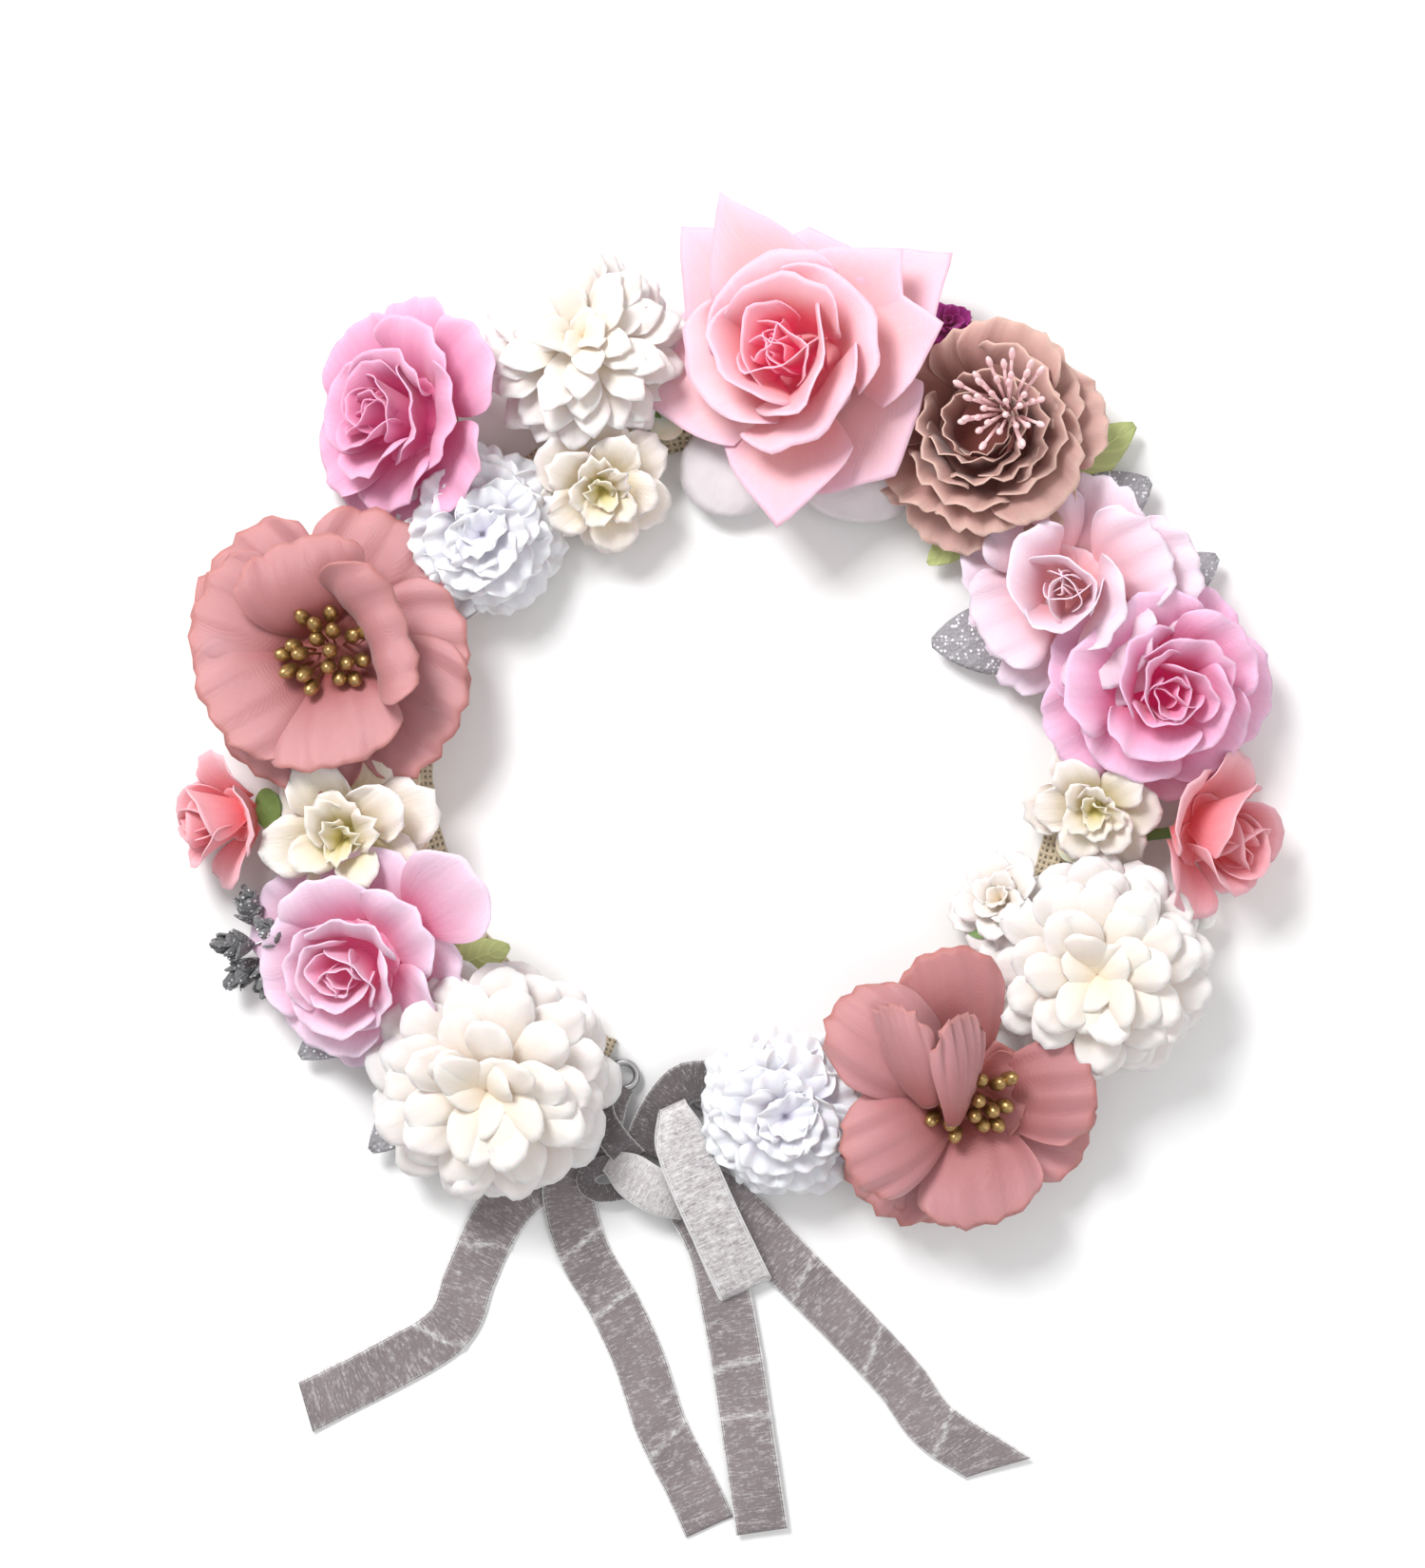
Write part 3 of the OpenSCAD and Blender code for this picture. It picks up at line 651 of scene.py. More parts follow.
def thicken(piece, thickness):
    apply_modifier(piece, "SOLIDIFY", thickness=thickness, offset=0)
    bpy.ops.object.shade_smooth()


def dress(piece, material, slot):
    piece.data.materials.clear()
    piece.data.materials.append(material)


def slot_of(node):
    return next(s["material_slot"] for s in frame["record"]["subparts"] if s["node"] == node)


def body_of(node):
    return next(b for b, nodes in frame["record"]["behaviour"]["bodies"].items() if node in nodes)


def stand_for(piece, material, node):
    """The piece rides with the node's body, in its place."""
    dress(piece, material, slot_of(node))
    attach(piece, body_of(node))
    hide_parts(node)


def recoat(material, *nodes):
    for node in nodes:
        holder = frame["nodes"][node]
        holder.data.materials.clear()
        holder.data.materials.append(material)


def turned(tilt, toward):
    """The matrix that tilts +Z by tilt towards an angle round from +X, both in degrees."""
    t, a = math.radians(tilt), math.radians(toward)
    about_z = np.array([[math.cos(a), -math.sin(a), 0], [math.sin(a), math.cos(a), 0], [0, 0, 1]])
    about_y = np.array([[math.cos(t), 0, math.sin(t)], [0, 1, 0], [-math.sin(t), 0, math.cos(t)]])
    return about_z @ about_y @ about_z.T


def petal_points(u, v, ring, around, rng):
    """Points of one petal on the flower's own axis, in flower radii, for the whole grid u, v."""
    size = 1 + rng.uniform(-PETAL_SPREAD, PETAL_SPREAD)
    twist = rng.uniform(-PETAL_SPREAD, PETAL_SPREAD) * ring.loose
    sway = rng.uniform(-PETAL_SWAY, PETAL_SWAY) * ring.loose
    phase = rng.uniform(0, 2 * math.pi)
    u = np.sin(u * math.pi / 2)
    shoulder = 1 - np.sqrt(1 - 0.98 * u * u)
    along = v * (1 - ring.round * shoulder - ring.point * np.abs(u)
                 + 0.7 * ring.frill * np.sin((ring.waves + 1) * math.pi * u + 2 * phase) * v
                 + 0.2 * ring.frill * np.sin(9.5 * math.pi * u + 3 * phase) * v)
    steps = np.linspace(0, 1, CENTRELINE_STEPS + 1)
    angle = np.radians(ring.lean[0] + (ring.lean[1] - ring.lean[0]) * steps ** 1.2 + sway)
    stride = ring.long * size / CENTRELINE_STEPS
    out = ring.foot + np.concatenate([[0], np.cumsum(np.sin(angle[1:]))]) * stride
    up = ring.rise + np.concatenate([[0], np.cumsum(np.cos(angle[1:]))]) * stride
    lean = np.interp(along, steps, angle)
    filled = np.sin(np.clip(along / WIDEST_AT, 0, 1) * math.pi / 2)
    width = ring.wide / 2 * (FOOT_WIDTH + (1 - FOOT_WIDTH) * filled)
    bend = math.radians(ring.cup)
    side = width * np.sin(u * bend) / bend
    lift = width * (1 - np.cos(u * bend)) / bend
    rim = np.maximum(np.abs(u) ** 4, v ** 4)
    lift = lift - ring.roll * rim + ring.swirl * side
    lift = lift + ring.frill * v ** 1.5 * np.sin(ring.waves * math.pi * u + phase)
    lift = lift + 0.012 * np.sin(5 * v + 3 * u + phase) * v
    side = side + twist * along
    radial = np.interp(along, steps, out) - np.cos(lean) * lift
    height = np.interp(along, steps, up) + np.sin(lean) * lift
    c, s = math.cos(around), math.sin(around)
    return np.stack([radial * c - side * s, radial * s + side * c, height], axis=1)


def stands(ring):
    """Where each petal of a round stands, in degrees: given one by one, or evenly spread."""
    if isinstance(ring.turn, tuple):
        return ring.turn
    return [ring.turn + 360 * i / ring.count for i in range(ring.count)]


def above_table(points):
    """Lift what would hang through the table so that it lies on it, easing in from above."""
    z = points[:, 2] - TABLE_CLEARANCE
    points[:, 2] = 0.5 * (z + np.sqrt(z * z + TABLE_EASE * TABLE_EASE)) + TABLE_CLEARANCE
    return points


def base_of(node, shift):
    """The middle of the underside of a node's box, moved by shift, in millimetres."""
    low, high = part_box(node)
    middle = np.array([(low[0] + high[0]) / 2, (low[1] + high[1]) / 2, low[2]])
    return middle + np.array([*shift, 0]) * MM


def flower_head(flower, thickness, across, along):
    """All the petals of a flower as one piece, in place on its node."""
    petals = [(ring, turn) for ring in flower.form for turn in stands(ring)]
    piece, u, v, number = cloth_sheet(f"{flower.node}_{flower.part}", across, along, len(petals))
    rng = np.random.default_rng(sum(ord(c) for c in flower.node))
    each = len(u) // len(petals)
    points, marks, tones = [], [], []
    for ring, turn in petals:
        around = math.radians(flower.spin + turn + rng.uniform(-PETAL_WANDER, PETAL_WANDER))
        points.append(petal_points(u[:each], v[:each], ring, around, rng))
        marks.append(np.full(each, ring.tone))
        tones.append(np.full(each, rng.uniform(0, 1)))
    points = np.concatenate(points) * flower.radius * MM
    base = base_of(flower.node, flower.shift)
    set_points(piece, above_table(points @ turned(flower.tilt, flower.toward).T + base))
    set_mark(piece, "ring", np.concatenate(marks))
    set_mark(piece, "tone", np.concatenate(tones))
    thicken(piece, thickness)
    return piece


def smooth_route(points, count):
    """A smooth curve through given points, at count even steps."""
    p = np.asarray(points, dtype=float)
    p = np.vstack([2 * p[0] - p[1], p, 2 * p[-1] - p[-2]])
    dense = []
    for a, b, c, d in zip(p[:-3], p[1:-2], p[2:-1], p[3:]):
        t = np.linspace(0, 1, 30, endpoint=False)[:, None]
        dense.append(0.5 * (2 * b + (c - a) * t + (2 * a - 5 * b + 4 * c - d) * t ** 2
                            + (3 * b - a - 3 * c + d) * t ** 3))
    dense = np.vstack([*dense, p[-2:-1]])
    run = np.concatenate([[0], np.cumsum(np.linalg.norm(np.diff(dense, axis=0), axis=1))])
    even = np.linspace(0, run[-1], count)
    return np.stack([np.interp(even, run, dense[:, i]) for i in range(dense.shape[1])], 1), run[-1]


def sampled(rows, at):
    """The rows of a table, blended at each share of the way down it."""
    steps = np.linspace(0, 1, len(rows))
    return np.stack([np.interp(at, steps, rows[:, i]) for i in range(3)], 1)


def ribbon_strip(name, route, creases=(), width=None, pinch=(), end_cut=0.0, ripple=0.5, seed=1,
                 flat_side=None):
    """A ribbon laid along a route of points in millimetres. Returns the piece and its length. A
    ribbon that folds back on itself is given the way its weft runs, as flat_side."""
    rows = 8 * len(route) + 24
    piece, u, v, _ = cloth_sheet(name, 8, rows - 1)
    line, run = smooth_route(np.asarray(route) * MM, rows)
    ways = np.gradient(line, axis=0)
    ways /= np.linalg.norm(ways, axis=1)[:, None]
    sides = np.tile([*flat_side, 0.0], (rows, 1)) if flat_side else np.cross(ways, [0, 0, 1])
    sides /= np.linalg.norm(sides, axis=1)[:, None]
    wide = np.full(len(u), (width or sizes().ribbon_width) / 2)
    for at, share, spread in pinch:
        wide *= 1 - (1 - share) * np.exp(-((v - at) / spread) ** 2)
    slant = v + end_cut * u * v ** 8
    points = sampled(line, slant) + sampled(sides, slant) * (u * wide)[:, None]
    points += sampled(ways, slant) * np.where(slant > 1, (slant - 1) * run, 0)[:, None]
    rng = np.random.default_rng(seed)
    phases = rng.uniform(0, 6.28, 4)
    slow, quick = (v * run / MM / wavelength for wavelength in RIPPLE_LENGTHS)
    wave = 1 + 0.5 * np.sin(slow + phases[0] + u) + 0.5 * np.sin(quick + phases[1] - 1.3 * u)
    points[:, 2] += ripple * MM * wave * 0.5
    # The crease ridges are marked for the organza, which paints them bright as a painted highlight.
    mark = np.zeros(len(u))
    for at, slope in creases:
        ridge = np.exp(-((v - at - slope * u) * run / CREASE) ** 2)
        points[:, 2] += CREASE * ridge
        mark = np.maximum(mark, ridge)
    set_points(piece, points)
    set_mark(piece, "ring", mark)
    thicken(piece, sizes().ribbon)
    return piece, run


# ---------------------------------------------------------------- operators

class CROWN_OT_frame(bpy.types.Operator):
    """Finish the wire, tape, glue, cups and stems that the CAD model already shapes"""
    bl_idname = "crown.frame"
    bl_label = "Wire, Tape, Glue and Cups"

    def execute(self, context):
        recoat(steel_finish(), "right_wire", "left_wire", "bud_stems")
        recoat(crepe_finish(), "right_tape", "left_tape")
        recoat(glue_finish(), "right_glue_pads", "left_glue_pads")
        recoat(moulded_finish("flower_cup", (0.1, 0.2, 0.04), (0.24, 0.36, 0.12)),
               "right_cups", "left_cups")
        recoat(moulded_finish("coated_stem", (0.08, 0.25, 0.03), (0.2, 0.45, 0.08), 0.35), "pearl_stems")
        recoat(pearl_finish(), "pearl_berries")
        return {"FINISHED"}


class CROWN_OT_jute_band(bpy.types.Operator):
    """Fold the jute cloth over the wire, all round the ring"""
    bl_idname = "crown.jute_band"
    bl_label = "Jute Band"

    def execute(self, context):
        piece, u, v, _ = cloth_sheet("jute_band_cloth", 24, 260)
        section = np.array([[0, 0.3], [-7.6, 0.3], [-8.2, 0.9], [-7.4, 1.6], [-3.2, 5.0], [0, 5.3],
                            [3.2, 5.0], [7.4, 1.6], [8.2, 0.9], [7.6, 0.3], [0, 0.3]]) * MM
        run = np.concatenate([[0], np.cumsum(np.linalg.norm(np.diff(section, axis=0), axis=1))])
        at = (u + 1) / 2 * run[-1]
        across, up = np.interp(at, run, section[:, 0]), np.interp(at, run, section[:, 1])
        start, stop = math.radians(BAND_START), math.radians(BAND_STOP)
        around = start + (stop - start) * v
        wrinkle = np.sin(around * 37 + 2 * u) + np.sin(around * 83 - 4 * u)
        radius = RING_RADIUS + across * (1 + 0.02 * wrinkle)
        height = np.where(up > 1 * MM, up + 0.12 * MM * wrinkle, up)
        set_points(piece, np.stack([radius * np.cos(around), radius * np.sin(around), height], 1))
        pick(piece)
        bpy.ops.object.mode_set(mode="EDIT")
        bpy.ops.mesh.select_all(action="SELECT")
        bpy.ops.mesh.remove_doubles(threshold=0.02 * MM)
        bpy.ops.mesh.normals_make_consistent(inside=False)
        bpy.ops.object.mode_set(mode="OBJECT")
        thicken(piece, sizes().jute)
        dress(piece, jute_finish(), "jute")
        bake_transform(piece)
        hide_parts("right_jute_band", "left_jute_band")
        return {"FINISHED"}


class CROWN_OT_flowers(bpy.types.Operator):
    """Shape every flower's petals, round by round, on its place on the ring"""
    bl_idname = "crown.flowers"
    bl_label = "Flower Heads"

    def execute(self, context):
        # glow sets each dye's painted glow in the flower's depths.
        finishes = {
            "rose": petal_finish("rose", satin=True, veins=0.6, edging=0.3,
                                 glow=0.26, core=1.3),
            "orchid": petal_finish("orchid"),
            "pink": petal_finish("pink"),
            "lilac": petal_finish("lilac"),
            "blush": petal_finish("blush", veins=0.7, glow=0.12),
            # The peony's pale margin colour is partly painted highlight along its rims.
            "peony": petal_finish("peony", edge_and_highlight=(0.8, 0.55, 0.47), edging=0.55, glow=0.1),
            "poppy": petal_finish("poppy", satin=True, edge_and_highlight=(0.5, 0.17, 0.13), edging=0.4,
                                  veins=0.35, glow=0.04),
            "ivory": petal_finish("ivory", foam=True, veins=0.4, glow=0.05),
            "white": petal_finish("white", veins=0.5, glow=0.05),
            "cream": petal_finish("cream", glow=0.1),
            "coral": petal_finish("coral", glow=0.2),
            "magenta": petal_finish("magenta"),
        }
        for flower in FLOWERS:
            thickness = sizes().foam_petal if flower.dye == "ivory" else sizes().petal
            coarser = 2 if flower.form in (MUM, DAHLIA, BLOSSOM, BUD) else 1
            piece = flower_head(flower, thickness, sizes().across // coarser,
                                sizes().along // coarser)
            stand_for(piece, finishes[flower.dye], flower.node)
        return {"FINISHED"}


class CROWN_OT_stamens(bpy.types.Operator):
    """Stand the stamens in the open flowers"""
    bl_idname = "crown.stamens"
    bl_label = "Stamens"

    def stamen(self, name, length_mm, bead, stretch, thread):
        """One upright stamen: a thread with an oval bead on its end."""
        clear_selection()
        bpy.ops.mesh.primitive_uv_sphere_add(segments=12, ring_count=9, radius=bead,
                                             location=(0, 0, length_mm * MM))
        piece = added(name)
        bpy.ops.object.mode_set(mode="EDIT")
        bpy.ops.mesh.select_all(action="SELECT")
        bpy.ops.transform.resize(value=(1, 1, stretch), center_override=(0, 0, length_mm * MM))
        bpy.ops.mesh.primitive_cylinder_add(vertices=8, radius=thread, depth=length_mm * MM,
                                            location=(0, 0, length_mm * MM / 2))
        bpy.ops.object.mode_set(mode="OBJECT")
        bpy.ops.object.transform_apply(location=True, rotation=True, scale=True)
        bpy.ops.object.shade_smooth()
        return piece

    def tuft(self, node, material, flower, count, length_mm, bead, stretch, thread, spread, foot):
        """A tuft of stamens, spread like a sunflower's seeds about the flower's axis, from a foot
        of the given radius in millimetres out to spread degrees."""
        base = base_of(node, flower.shift)
        model = self.stamen(f"{node}_tuft", length_mm, bead, stretch, thread)
        shape = np.array([v.co for v in model.data.vertices])
        apply_modifier(model, "ARRAY", count=count, use_relative_offset=False,
                       use_constant_offset=True, constant_offset_displace=(1, 0, 0))
        rng = np.random.default_rng(count)
        points = []
        for i in range(count):
            share = math.sqrt((i + 0.5) / count)
            toward = GOLDEN_ANGLE * i + rng.uniform(-15, 15)
            size = np.array([1, 1, rng.uniform(0.82, 1.1)])
            leant = (shape * size) @ turned(spread * share + rng.uniform(-4, 4), toward).T
            foot_at = np.array([math.cos(math.radians(toward)), math.sin(math.radians(toward)), 0])
            points.append(leant + foot_at * foot * share * MM)
        points = np.concatenate(points) @ turned(flower.tilt, flower.toward).T + base
        set_points(model, points)
        stand_for(model, material, node)

    def execute(self, context):
        gold = gold_finish()
        by_node = {f.node: f for f in FLOWERS if f.part == "petals"}
        for poppy in ("poppy_left", "poppy_right"):
            self.tuft(f"{poppy}_stamens", gold, by_node[poppy], count=19, length_mm=12,
                      bead=sizes().bead, stretch=1.6, thread=0.35 * MM, spread=42, foot=4)
        pink = moulded_finish("waxed_thread", (0.85, 0.42, 0.45), (0.95, 0.82, 0.82), 0.4)
        self.tuft("peony_stamens", pink, by_node["peony"], count=34, length_mm=12,
                  bead=0.85 * MM, stretch=2.4, thread=0.425 * MM, spread=40, foot=5)
        return {"FINISHED"}


# Each leaf: node, root and tip in millimetres, height above the band, width and arch.
LEAVES = [
    ("green_leaves_right", [((67, 62), (104, 88), 1, 16, 3), ((64, 63), (49, 51), 1, 9, 1),
                            ((41, 85), (47, 113), 1, 11, 2)]),
    ("green_leaf_left", [((-83, -58), (-62, -50.5), 4, 11, 2)]),
    ("glitter_leaves_right", [((80, 58), (108, 73), 2, 18, 2), ((87, 33), (50, 30), 1, 20, 2),
                              ((90, 30), (126, 53), 1, 18, 2)]),
    ("glitter_leaves_left", [((-80, -55), (-118, -80), 1, 17, 2), ((-66, -72), (-99, -105), 2, 17, 2)]),
    ("satin_leaves", [((20, 92), (-15, 69), 3, 26, 4), ((32, 88), (29, 62), 3, 30, 4)]),
]


class CROWN_OT_leaves(bpy.types.Operator):
    """Lay the leaves between the flowers"""
    bl_idname = "crown.leaves"
    bl_label = "Leaves"

    def execute(self, context):
        tint = colours()
        finishes = {
            "green_leaf": leaf_finish("green_leaf", tuple(tint.green)),
            # The glitter leaves' grey is partly painted shade.
            "glitter_leaf": leaf_finish("glitter_leaf", tuple(tint.grey), glitter=0.9),
            # The white satin is given a grey colour, partly painted shade from the rose that lies over
            # these lobes.
            "satin": leaf_finish("white_satin", (0.76, 0.71, 0.74), satin=True),
        }
        band_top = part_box("right_jute_band")[1][2]
        for node, leaves in LEAVES:
            rounded = node == "satin_leaves"
            piece, u, v, number = cloth_sheet(f"{node}_cloth", 10, 16, len(leaves))
            points = np.zeros((len(u), 3))
            for i, (root, tip, height, width, arch) in enumerate(leaves):
                mine = number == i
                across, along = u[mine], v[mine]
                root, tip = np.array(root) * MM, np.array(tip) * MM
                way = (tip - root) / np.linalg.norm(tip - root)
                reach = along * np.linalg.norm(tip - root)
                if rounded:
                    reach = reach * (1 - 0.35 * (1 - np.sqrt(1 - 0.94 * across ** 2)))
                    half = np.sin(np.clip(along / 0.6, 0.15, 1) * math.pi / 2)
                else:
                    half = np.sin(math.pi * (0.03 + 0.95 * along)) ** 0.75
                side = across * half * width / 2 * MM
                lift = arch * MM * (np.sin(math.pi * along) - 0.35 * across ** 2 * half)
                lift = lift + 0.25 * MM * np.sin(11 * along + 2 * across)
                points[mine, 0] = root[0] + way[0] * reach - way[1] * side
                points[mine, 1] = root[1] + way[1] * reach + way[0] * side
                points[mine, 2] = band_top + height * MM + lift
            set_points(piece, points)
            thicken(piece, sizes().petal)
            stand_for(piece, finishes[slot_of(node)], node)
        return {"FINISHED"}


# Each glitter bud: its middle in millimetres, and the way it points.
BUDS = [((-130, -41, 10), 110), ((-123, -47, 15), 140), ((-134, -50, 11), 180),
        ((-126, -58, 9), 260), ((-132, -57, 6), 220)]
BUD_SCALES = [
    Ring(3, 0.02, 0.0, 1.9, 0.9, (10, -14), 80, turn=0),
    Ring(4, 0.1, 0.0, 1.6, 0.9, (26, 2), 70, turn=30),
    Ring(4, 0.1, 0.0, 1.25, 0.9, (42, 20), 60, turn=60),
]
BUD_RADIUS = 6.2 * MM
BUD_FOOT = 4.5 * MM         # from a bud's foot to its middle
BUD_TILT = 65
SCALE_THICKNESS = 0.5 * MM


class CROWN_OT_glitter_buds(bpy.types.Operator):
    """Wrap the small buds in scales and glitter"""
    bl_idname = "crown.glitter_buds"
    bl_label = "Glitter Buds"

    def execute(self, context):
        petals = [(bud, ring, i) for bud in BUDS for ring in BUD_SCALES for i in range(ring.count)]
        piece, u, v, _ = cloth_sheet("glitter_bud_scales", 6, 8, len(petals))
        each = len(u) // len(petals)
        rng = np.random.default_rng(11)
        points = []
        for (middle, toward), ring, i in petals:
            around = 2 * math.pi * i / ring.count + math.radians(ring.turn)
            scale = petal_points(u[:each], v[:each], ring, around, rng) * BUD_RADIUS
            turn = turned(BUD_TILT, toward)
            points.append(scale @ turn.T + np.array(middle) * MM - turn @ np.array([0, 0, BUD_FOOT]))
        set_points(piece, above_table(np.concatenate(points)))
        thicken(piece, SCALE_THICKNESS)
        stand_for(piece, leaf_finish("dark_glitter", (0.16, 0.16, 0.165), glitter=1.0), "glitter_buds")
        return {"FINISHED"}


# Middle lines of the ribbons, in millimetres, as they lie on the table.
TAIL_A = [(-33, -89.5, 3), (-37.5, -98, 2.5), (-48, -109, 1.2), (-60, -117, 0.6), (-67, -126, 0.4),
          (-73, -139, 0.4), (-79, -153, 0.4), (-97, -164, 0.4), (-117, -174, 0.4)]
TAIL_B = [(-32, -88, 3.4), (-38, -98, 3), (-46, -112, 2.4), (-46, -122, 1), (-42, -134, 0.5),
          (-35, -146, 0.4), (-28, -161, 0.4), (-22, -179, 0.4), (-14, -195, 0.4), (-9, -206, 0.4)]
TAIL_C = [(-24, -112, 4), (-14, -120, 3.2), (-8, -131, 2.6), (-5, -144, 2.3), (-2, -160, 2.1),
          (1, -180, 2.1), (5, -207, 2.1)]
TAIL_D = [(-22, -110, 4.6), (-10, -115, 3.4), (2, -125, 2), (12, -135.5, 0.9), (30, -154, 0.4),
          (42, -167, 0.4), (51, -179, 0.4), (68, -190, 1.4)]


class CROWN_OT_ribbon_tails(bpy.types.Operator):
    """Lay the ribbon's four tails on the table"""
    bl_idname = "crown.ribbon_tails"
    bl_label = "Ribbon Tails"

    def execute(self, context):
        organza = organza_finish()
        tails = [("left_tail_outer", TAIL_A, ((0.68, 0.03), (0.3, 0.0), (0.45, 0.02)), -0.01, 3),
                 ("left_tail_inner", TAIL_B, ((0.36, 0.02), (0.5, 0.01), (0.8, 0.02)), 0.0, 4),
                 ("right_tail_inner", TAIL_C, ((0.56, 0.01), (0.7, 0.0)), 0.0, 5),
                 ("right_tail_outer", TAIL_D, ((0.4, 0.02), (0.62, 0.03), (0.86, 0.03)), -0.05, 6)]
        for name, route, creases, cut, seed in tails:
            side = name.split("_")[0]
            piece, run = ribbon_strip(name, route, creases, end_cut=cut, seed=seed,
                                      pinch=((0.0, 0.45, 0.08),))
            stand_for(piece, organza, f"{side}_ribbon_tails")
            "left_wire" if side == "left" else "bow_knot"
        return {"FINISHED"}


# Middle lines of the tie's strips, in millimetres, from the knot out to where each one ends.
BOW_LOOP = [(-15, -113, 4.5), (-17, -103, 5.5), (-19, -94, 6.5), (-18.8, -92.6, 8.6),
            (-18.2, -95, 10.4), (-15.6, -105, 11), (-9.4, -120, 9.6), (-1, -138, 6),
            (0.8, -141.8, 4.2), (-0.6, -140.5, 2.6), (-7.6, -125, 3.6), (-13, -112, 4.4)]
KNOT = [(-36, -107.5, 4.5), (-31, -110.5, 7.4), (-25, -114.5, 8.6), (-19, -117.5, 7),
        (-15, -119, 4.6)]
KNOT_CURL = [(-29, -110.5, 3.6), (-35, -108.6, 4.6), (-40.5, -110.4, 4.4), (-42, -113.6, 4),
             (-39, -116.2, 4.4), (-33, -115.8, 4.8), (-28, -114, 4.2)]
RIGHT_ARM = [(-27, -106, 4), (-24, -98, 5), (-19.5, -90.5, 6), (-14.5, -86.5, 6.5), (-6, -86.5, 6.5)]
LEFT_ARM = [(-29, -108, 4.5), (-34, -102.5, 5.5), (-38, -96, 5), (-38.5, -89, 5), (-36.5, -83, 5)]

# Each strip: piece, the node it stands for, route, gathered width in millimetres, what it rests
# on, and its shape.
TIE = [
    ("bow_loop_cloth", "bow_loop", BOW_LOOP, 14.5, "bow_knot",
     {"ripple": 0.25, "seed": 8, "pinch": ((0.0, 0.5, 0.06), (0.2, 0.5, 0.06), (1.0, 0.6, 0.08)),
      "flat_side": (0.91, 0.41)}),
    ("knot_cloth", "bow_knot", KNOT, 12, "tie_arm_right",
     {"ripple": 0.9, "seed": 9, "pinch": ((0.0, 0.55, 0.2), (1.0, 0.8, 0.2))}),
    ("knot_curl_cloth", None, KNOT_CURL, 5, "bow_knot", {"seed": 15}),
    ("right_arm_cloth", "tie_arm_right", RIGHT_ARM, 11, "right_wire", {"seed": 10}),
    ("left_arm_cloth", "tie_arm_left", LEFT_ARM, 8, "left_wire", {"seed": 12}),
]


class CROWN_OT_bow(bpy.types.Operator):
    """Tie the bow's loop, the knot and the arms to both wire eyes"""
    bl_idname = "crown.bow"
    bl_label = "Bow and Knot"

    def execute(self, context):
        doubled = organza_finish("doubled_organza", pale=0.5, solid=0.2)
        gathered = organza_finish("gathered_organza", pale=-0.08, solid=0.2, depth=0.4)
        for name, node, route, width, support, shape in TIE:
            piece, run = ribbon_strip(name, route, width=width * MM, **shape)
            dress(piece, doubled if node in ("bow_loop", "bow_knot") else gathered, "organza")
            if node == "tie_arm_left":
                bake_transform(piece)
            else:
                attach(piece, RIGHT)
            if node:
                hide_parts(node)
        return {"FINISHED"}


TABLE_SIZE = 6
# Each light: place, size and watts.
LIGHTS = {"key_softbox": ((-0.5, 0.7, 1.0), 0.45, 15.5), "fill_softbox": ((0.8, -0.4, 1.1), 1.0, 3.5)}
ROOM_LIGHT = 0.6
CAMERA_PLACE = (-8.25 * MM, -7.5 * MM, 0.99)
CAMERA_LENS = 85


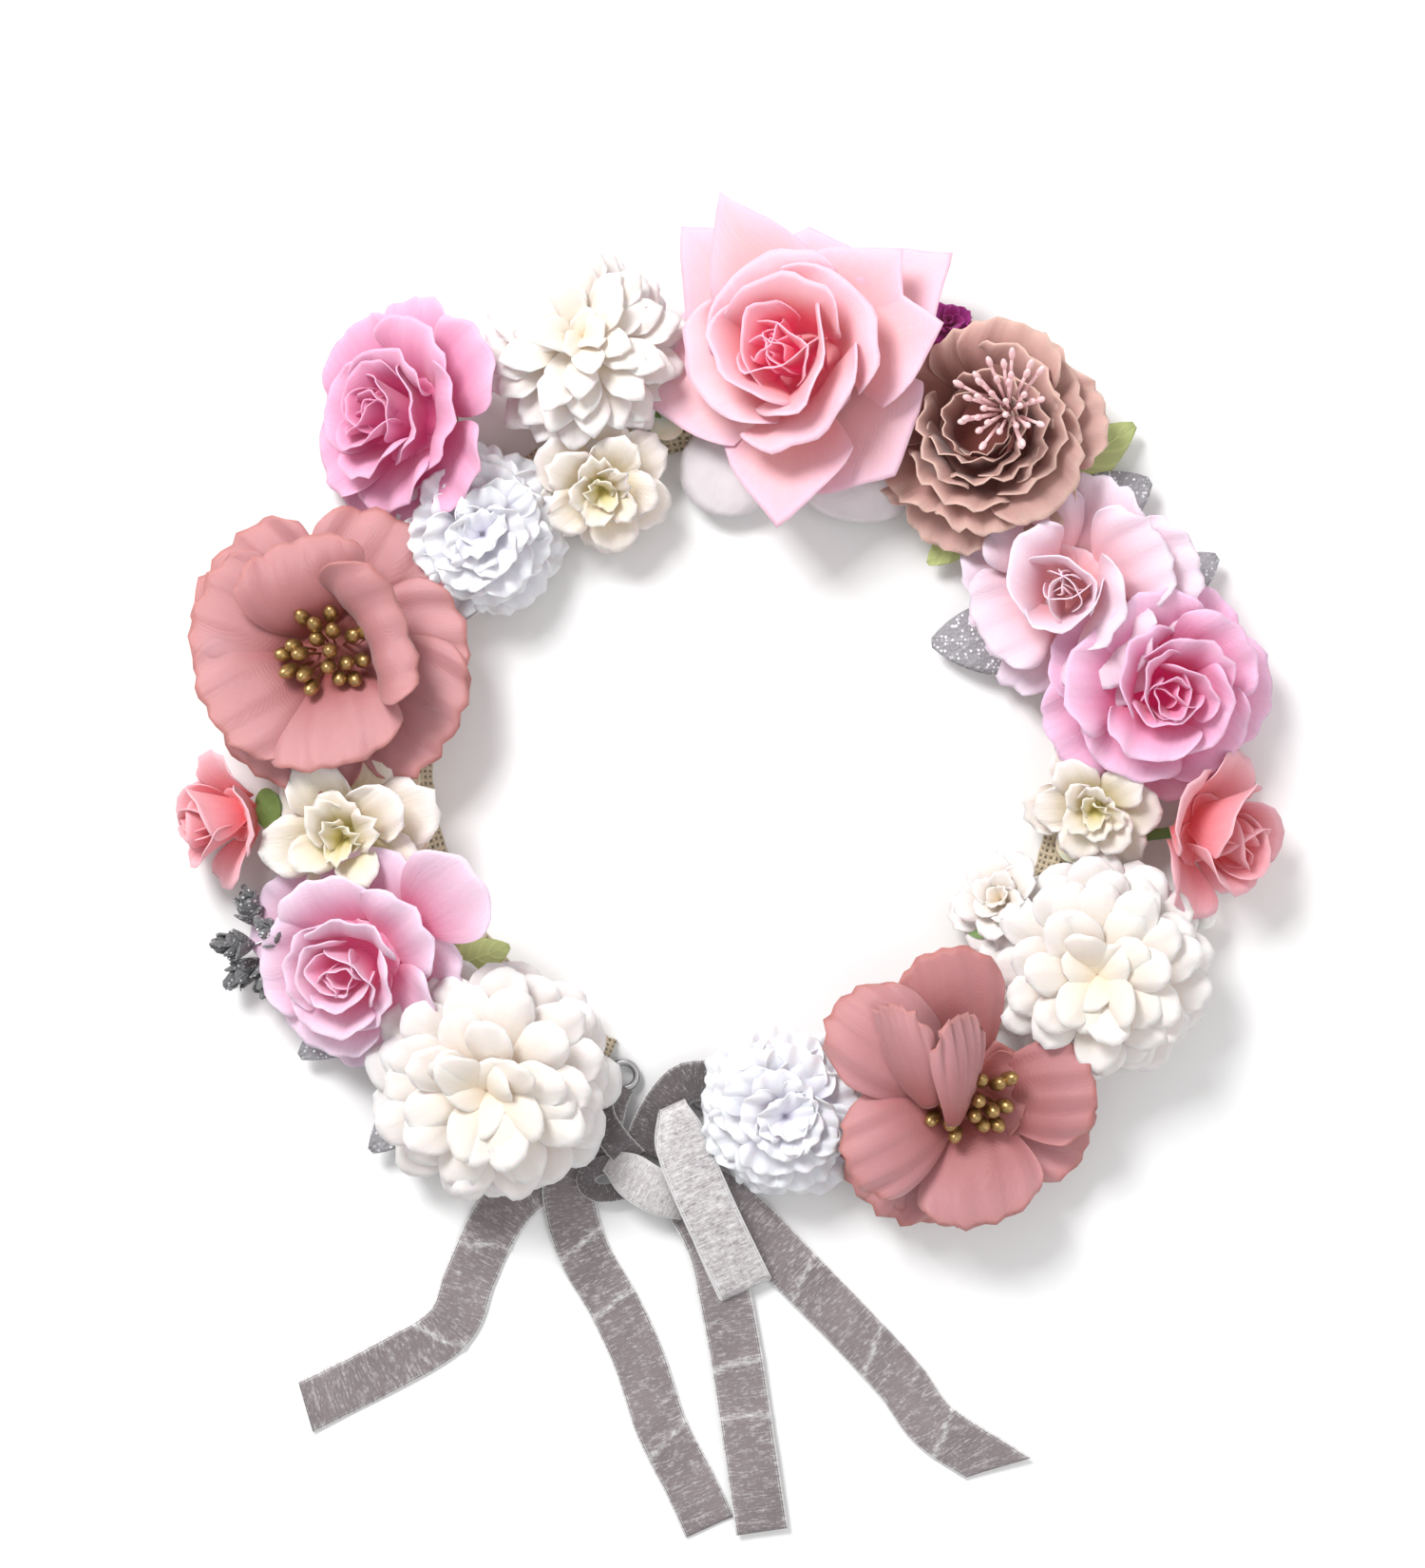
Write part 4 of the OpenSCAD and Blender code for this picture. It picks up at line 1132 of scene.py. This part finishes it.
class CROWN_OT_stage(bpy.types.Operator):
    """Set the pale table, the soft lights and the camera straight above"""
    bl_idname = "crown.stage"
    bl_label = "Table, Lights and Camera"

    def soft_light(self, name, place, size, watts):
        clear_selection()
        bpy.ops.object.light_add(type="AREA", location=place)
        light = bpy.context.object
        light.name = name
        light.data.size = size
        light.data.energy = watts
        x, y, z = place
        light.rotation_euler = (math.atan2(math.hypot(x, y), z), 0, math.atan2(y, x) + math.pi / 2)

    def execute(self, context):
        clear_selection()
        bpy.ops.mesh.primitive_plane_add(size=TABLE_SIZE, location=(0, 0, 0))
        table = added("table_top")
        table.data.materials.append(floor_finish())
        for name, light in LIGHTS.items():
            self.soft_light(name, *light)
        world = bpy.data.worlds.new("pale_room")
        world.use_nodes = True
        background = world.node_tree.nodes["Background"]
        background.inputs["Color"].default_value = (1, 1, 1, 1)
        background.inputs["Strength"].default_value = ROOM_LIGHT
        context.scene.world = world
        context.scene.view_settings.view_transform = "Standard"
        clear_selection()
        bpy.ops.object.camera_add(location=CAMERA_PLACE, rotation=(0, 0, 0))
        camera = bpy.context.object
        camera.name = "overhead_camera"
        camera.data.lens = CAMERA_LENS
        camera.data.dof.use_dof = False
        context.scene.camera = camera
        return {"FINISHED"}


class CROWN_PT_panel(bpy.types.Panel):
    """The crown's parts, in the order they are made"""
    bl_idname = "CROWN_PT_panel"
    bl_label = "Flower Crown"
    bl_space_type = "VIEW_3D"
    bl_region_type = "UI"
    bl_category = "Flower Crown"

    def draw(self, context):
        column = self.layout.column()
        for operator in OPERATORS:
            column.operator(operator.bl_idname)
        for group in (context.scene.crown_sizes, context.scene.crown_colours):
            for name in group.bl_rna.properties.keys():
                if name not in ("rna_type", "name"):
                    column.prop(group, name)


OPERATORS = (CROWN_OT_stage, CROWN_OT_frame, CROWN_OT_jute_band, CROWN_OT_flowers, CROWN_OT_stamens,
             CROWN_OT_leaves, CROWN_OT_glitter_buds, CROWN_OT_ribbon_tails, CROWN_OT_bow)
CLASSES = (CrownSizes, CrownColours, *OPERATORS, CROWN_PT_panel)


def register():
    for cls in CLASSES:
        bpy.utils.register_class(cls)
    bpy.types.Scene.crown_sizes = PointerProperty(type=CrownSizes)
    bpy.types.Scene.crown_colours = PointerProperty(type=CrownColours)


def unregister():
    del bpy.types.Scene.crown_colours
    del bpy.types.Scene.crown_sizes
    for cls in reversed(CLASSES):
        bpy.utils.unregister_class(cls)


def main():
    register()
    bpy.ops.crown.stage()
    bpy.ops.crown.frame()
    bpy.ops.crown.jute_band()
    bpy.ops.crown.flowers()
    bpy.ops.crown.stamens()
    bpy.ops.crown.leaves()
    bpy.ops.crown.glitter_buds()
    bpy.ops.crown.ribbon_tails()
    bpy.ops.crown.bow()


if __name__ == "__main__":
    main()
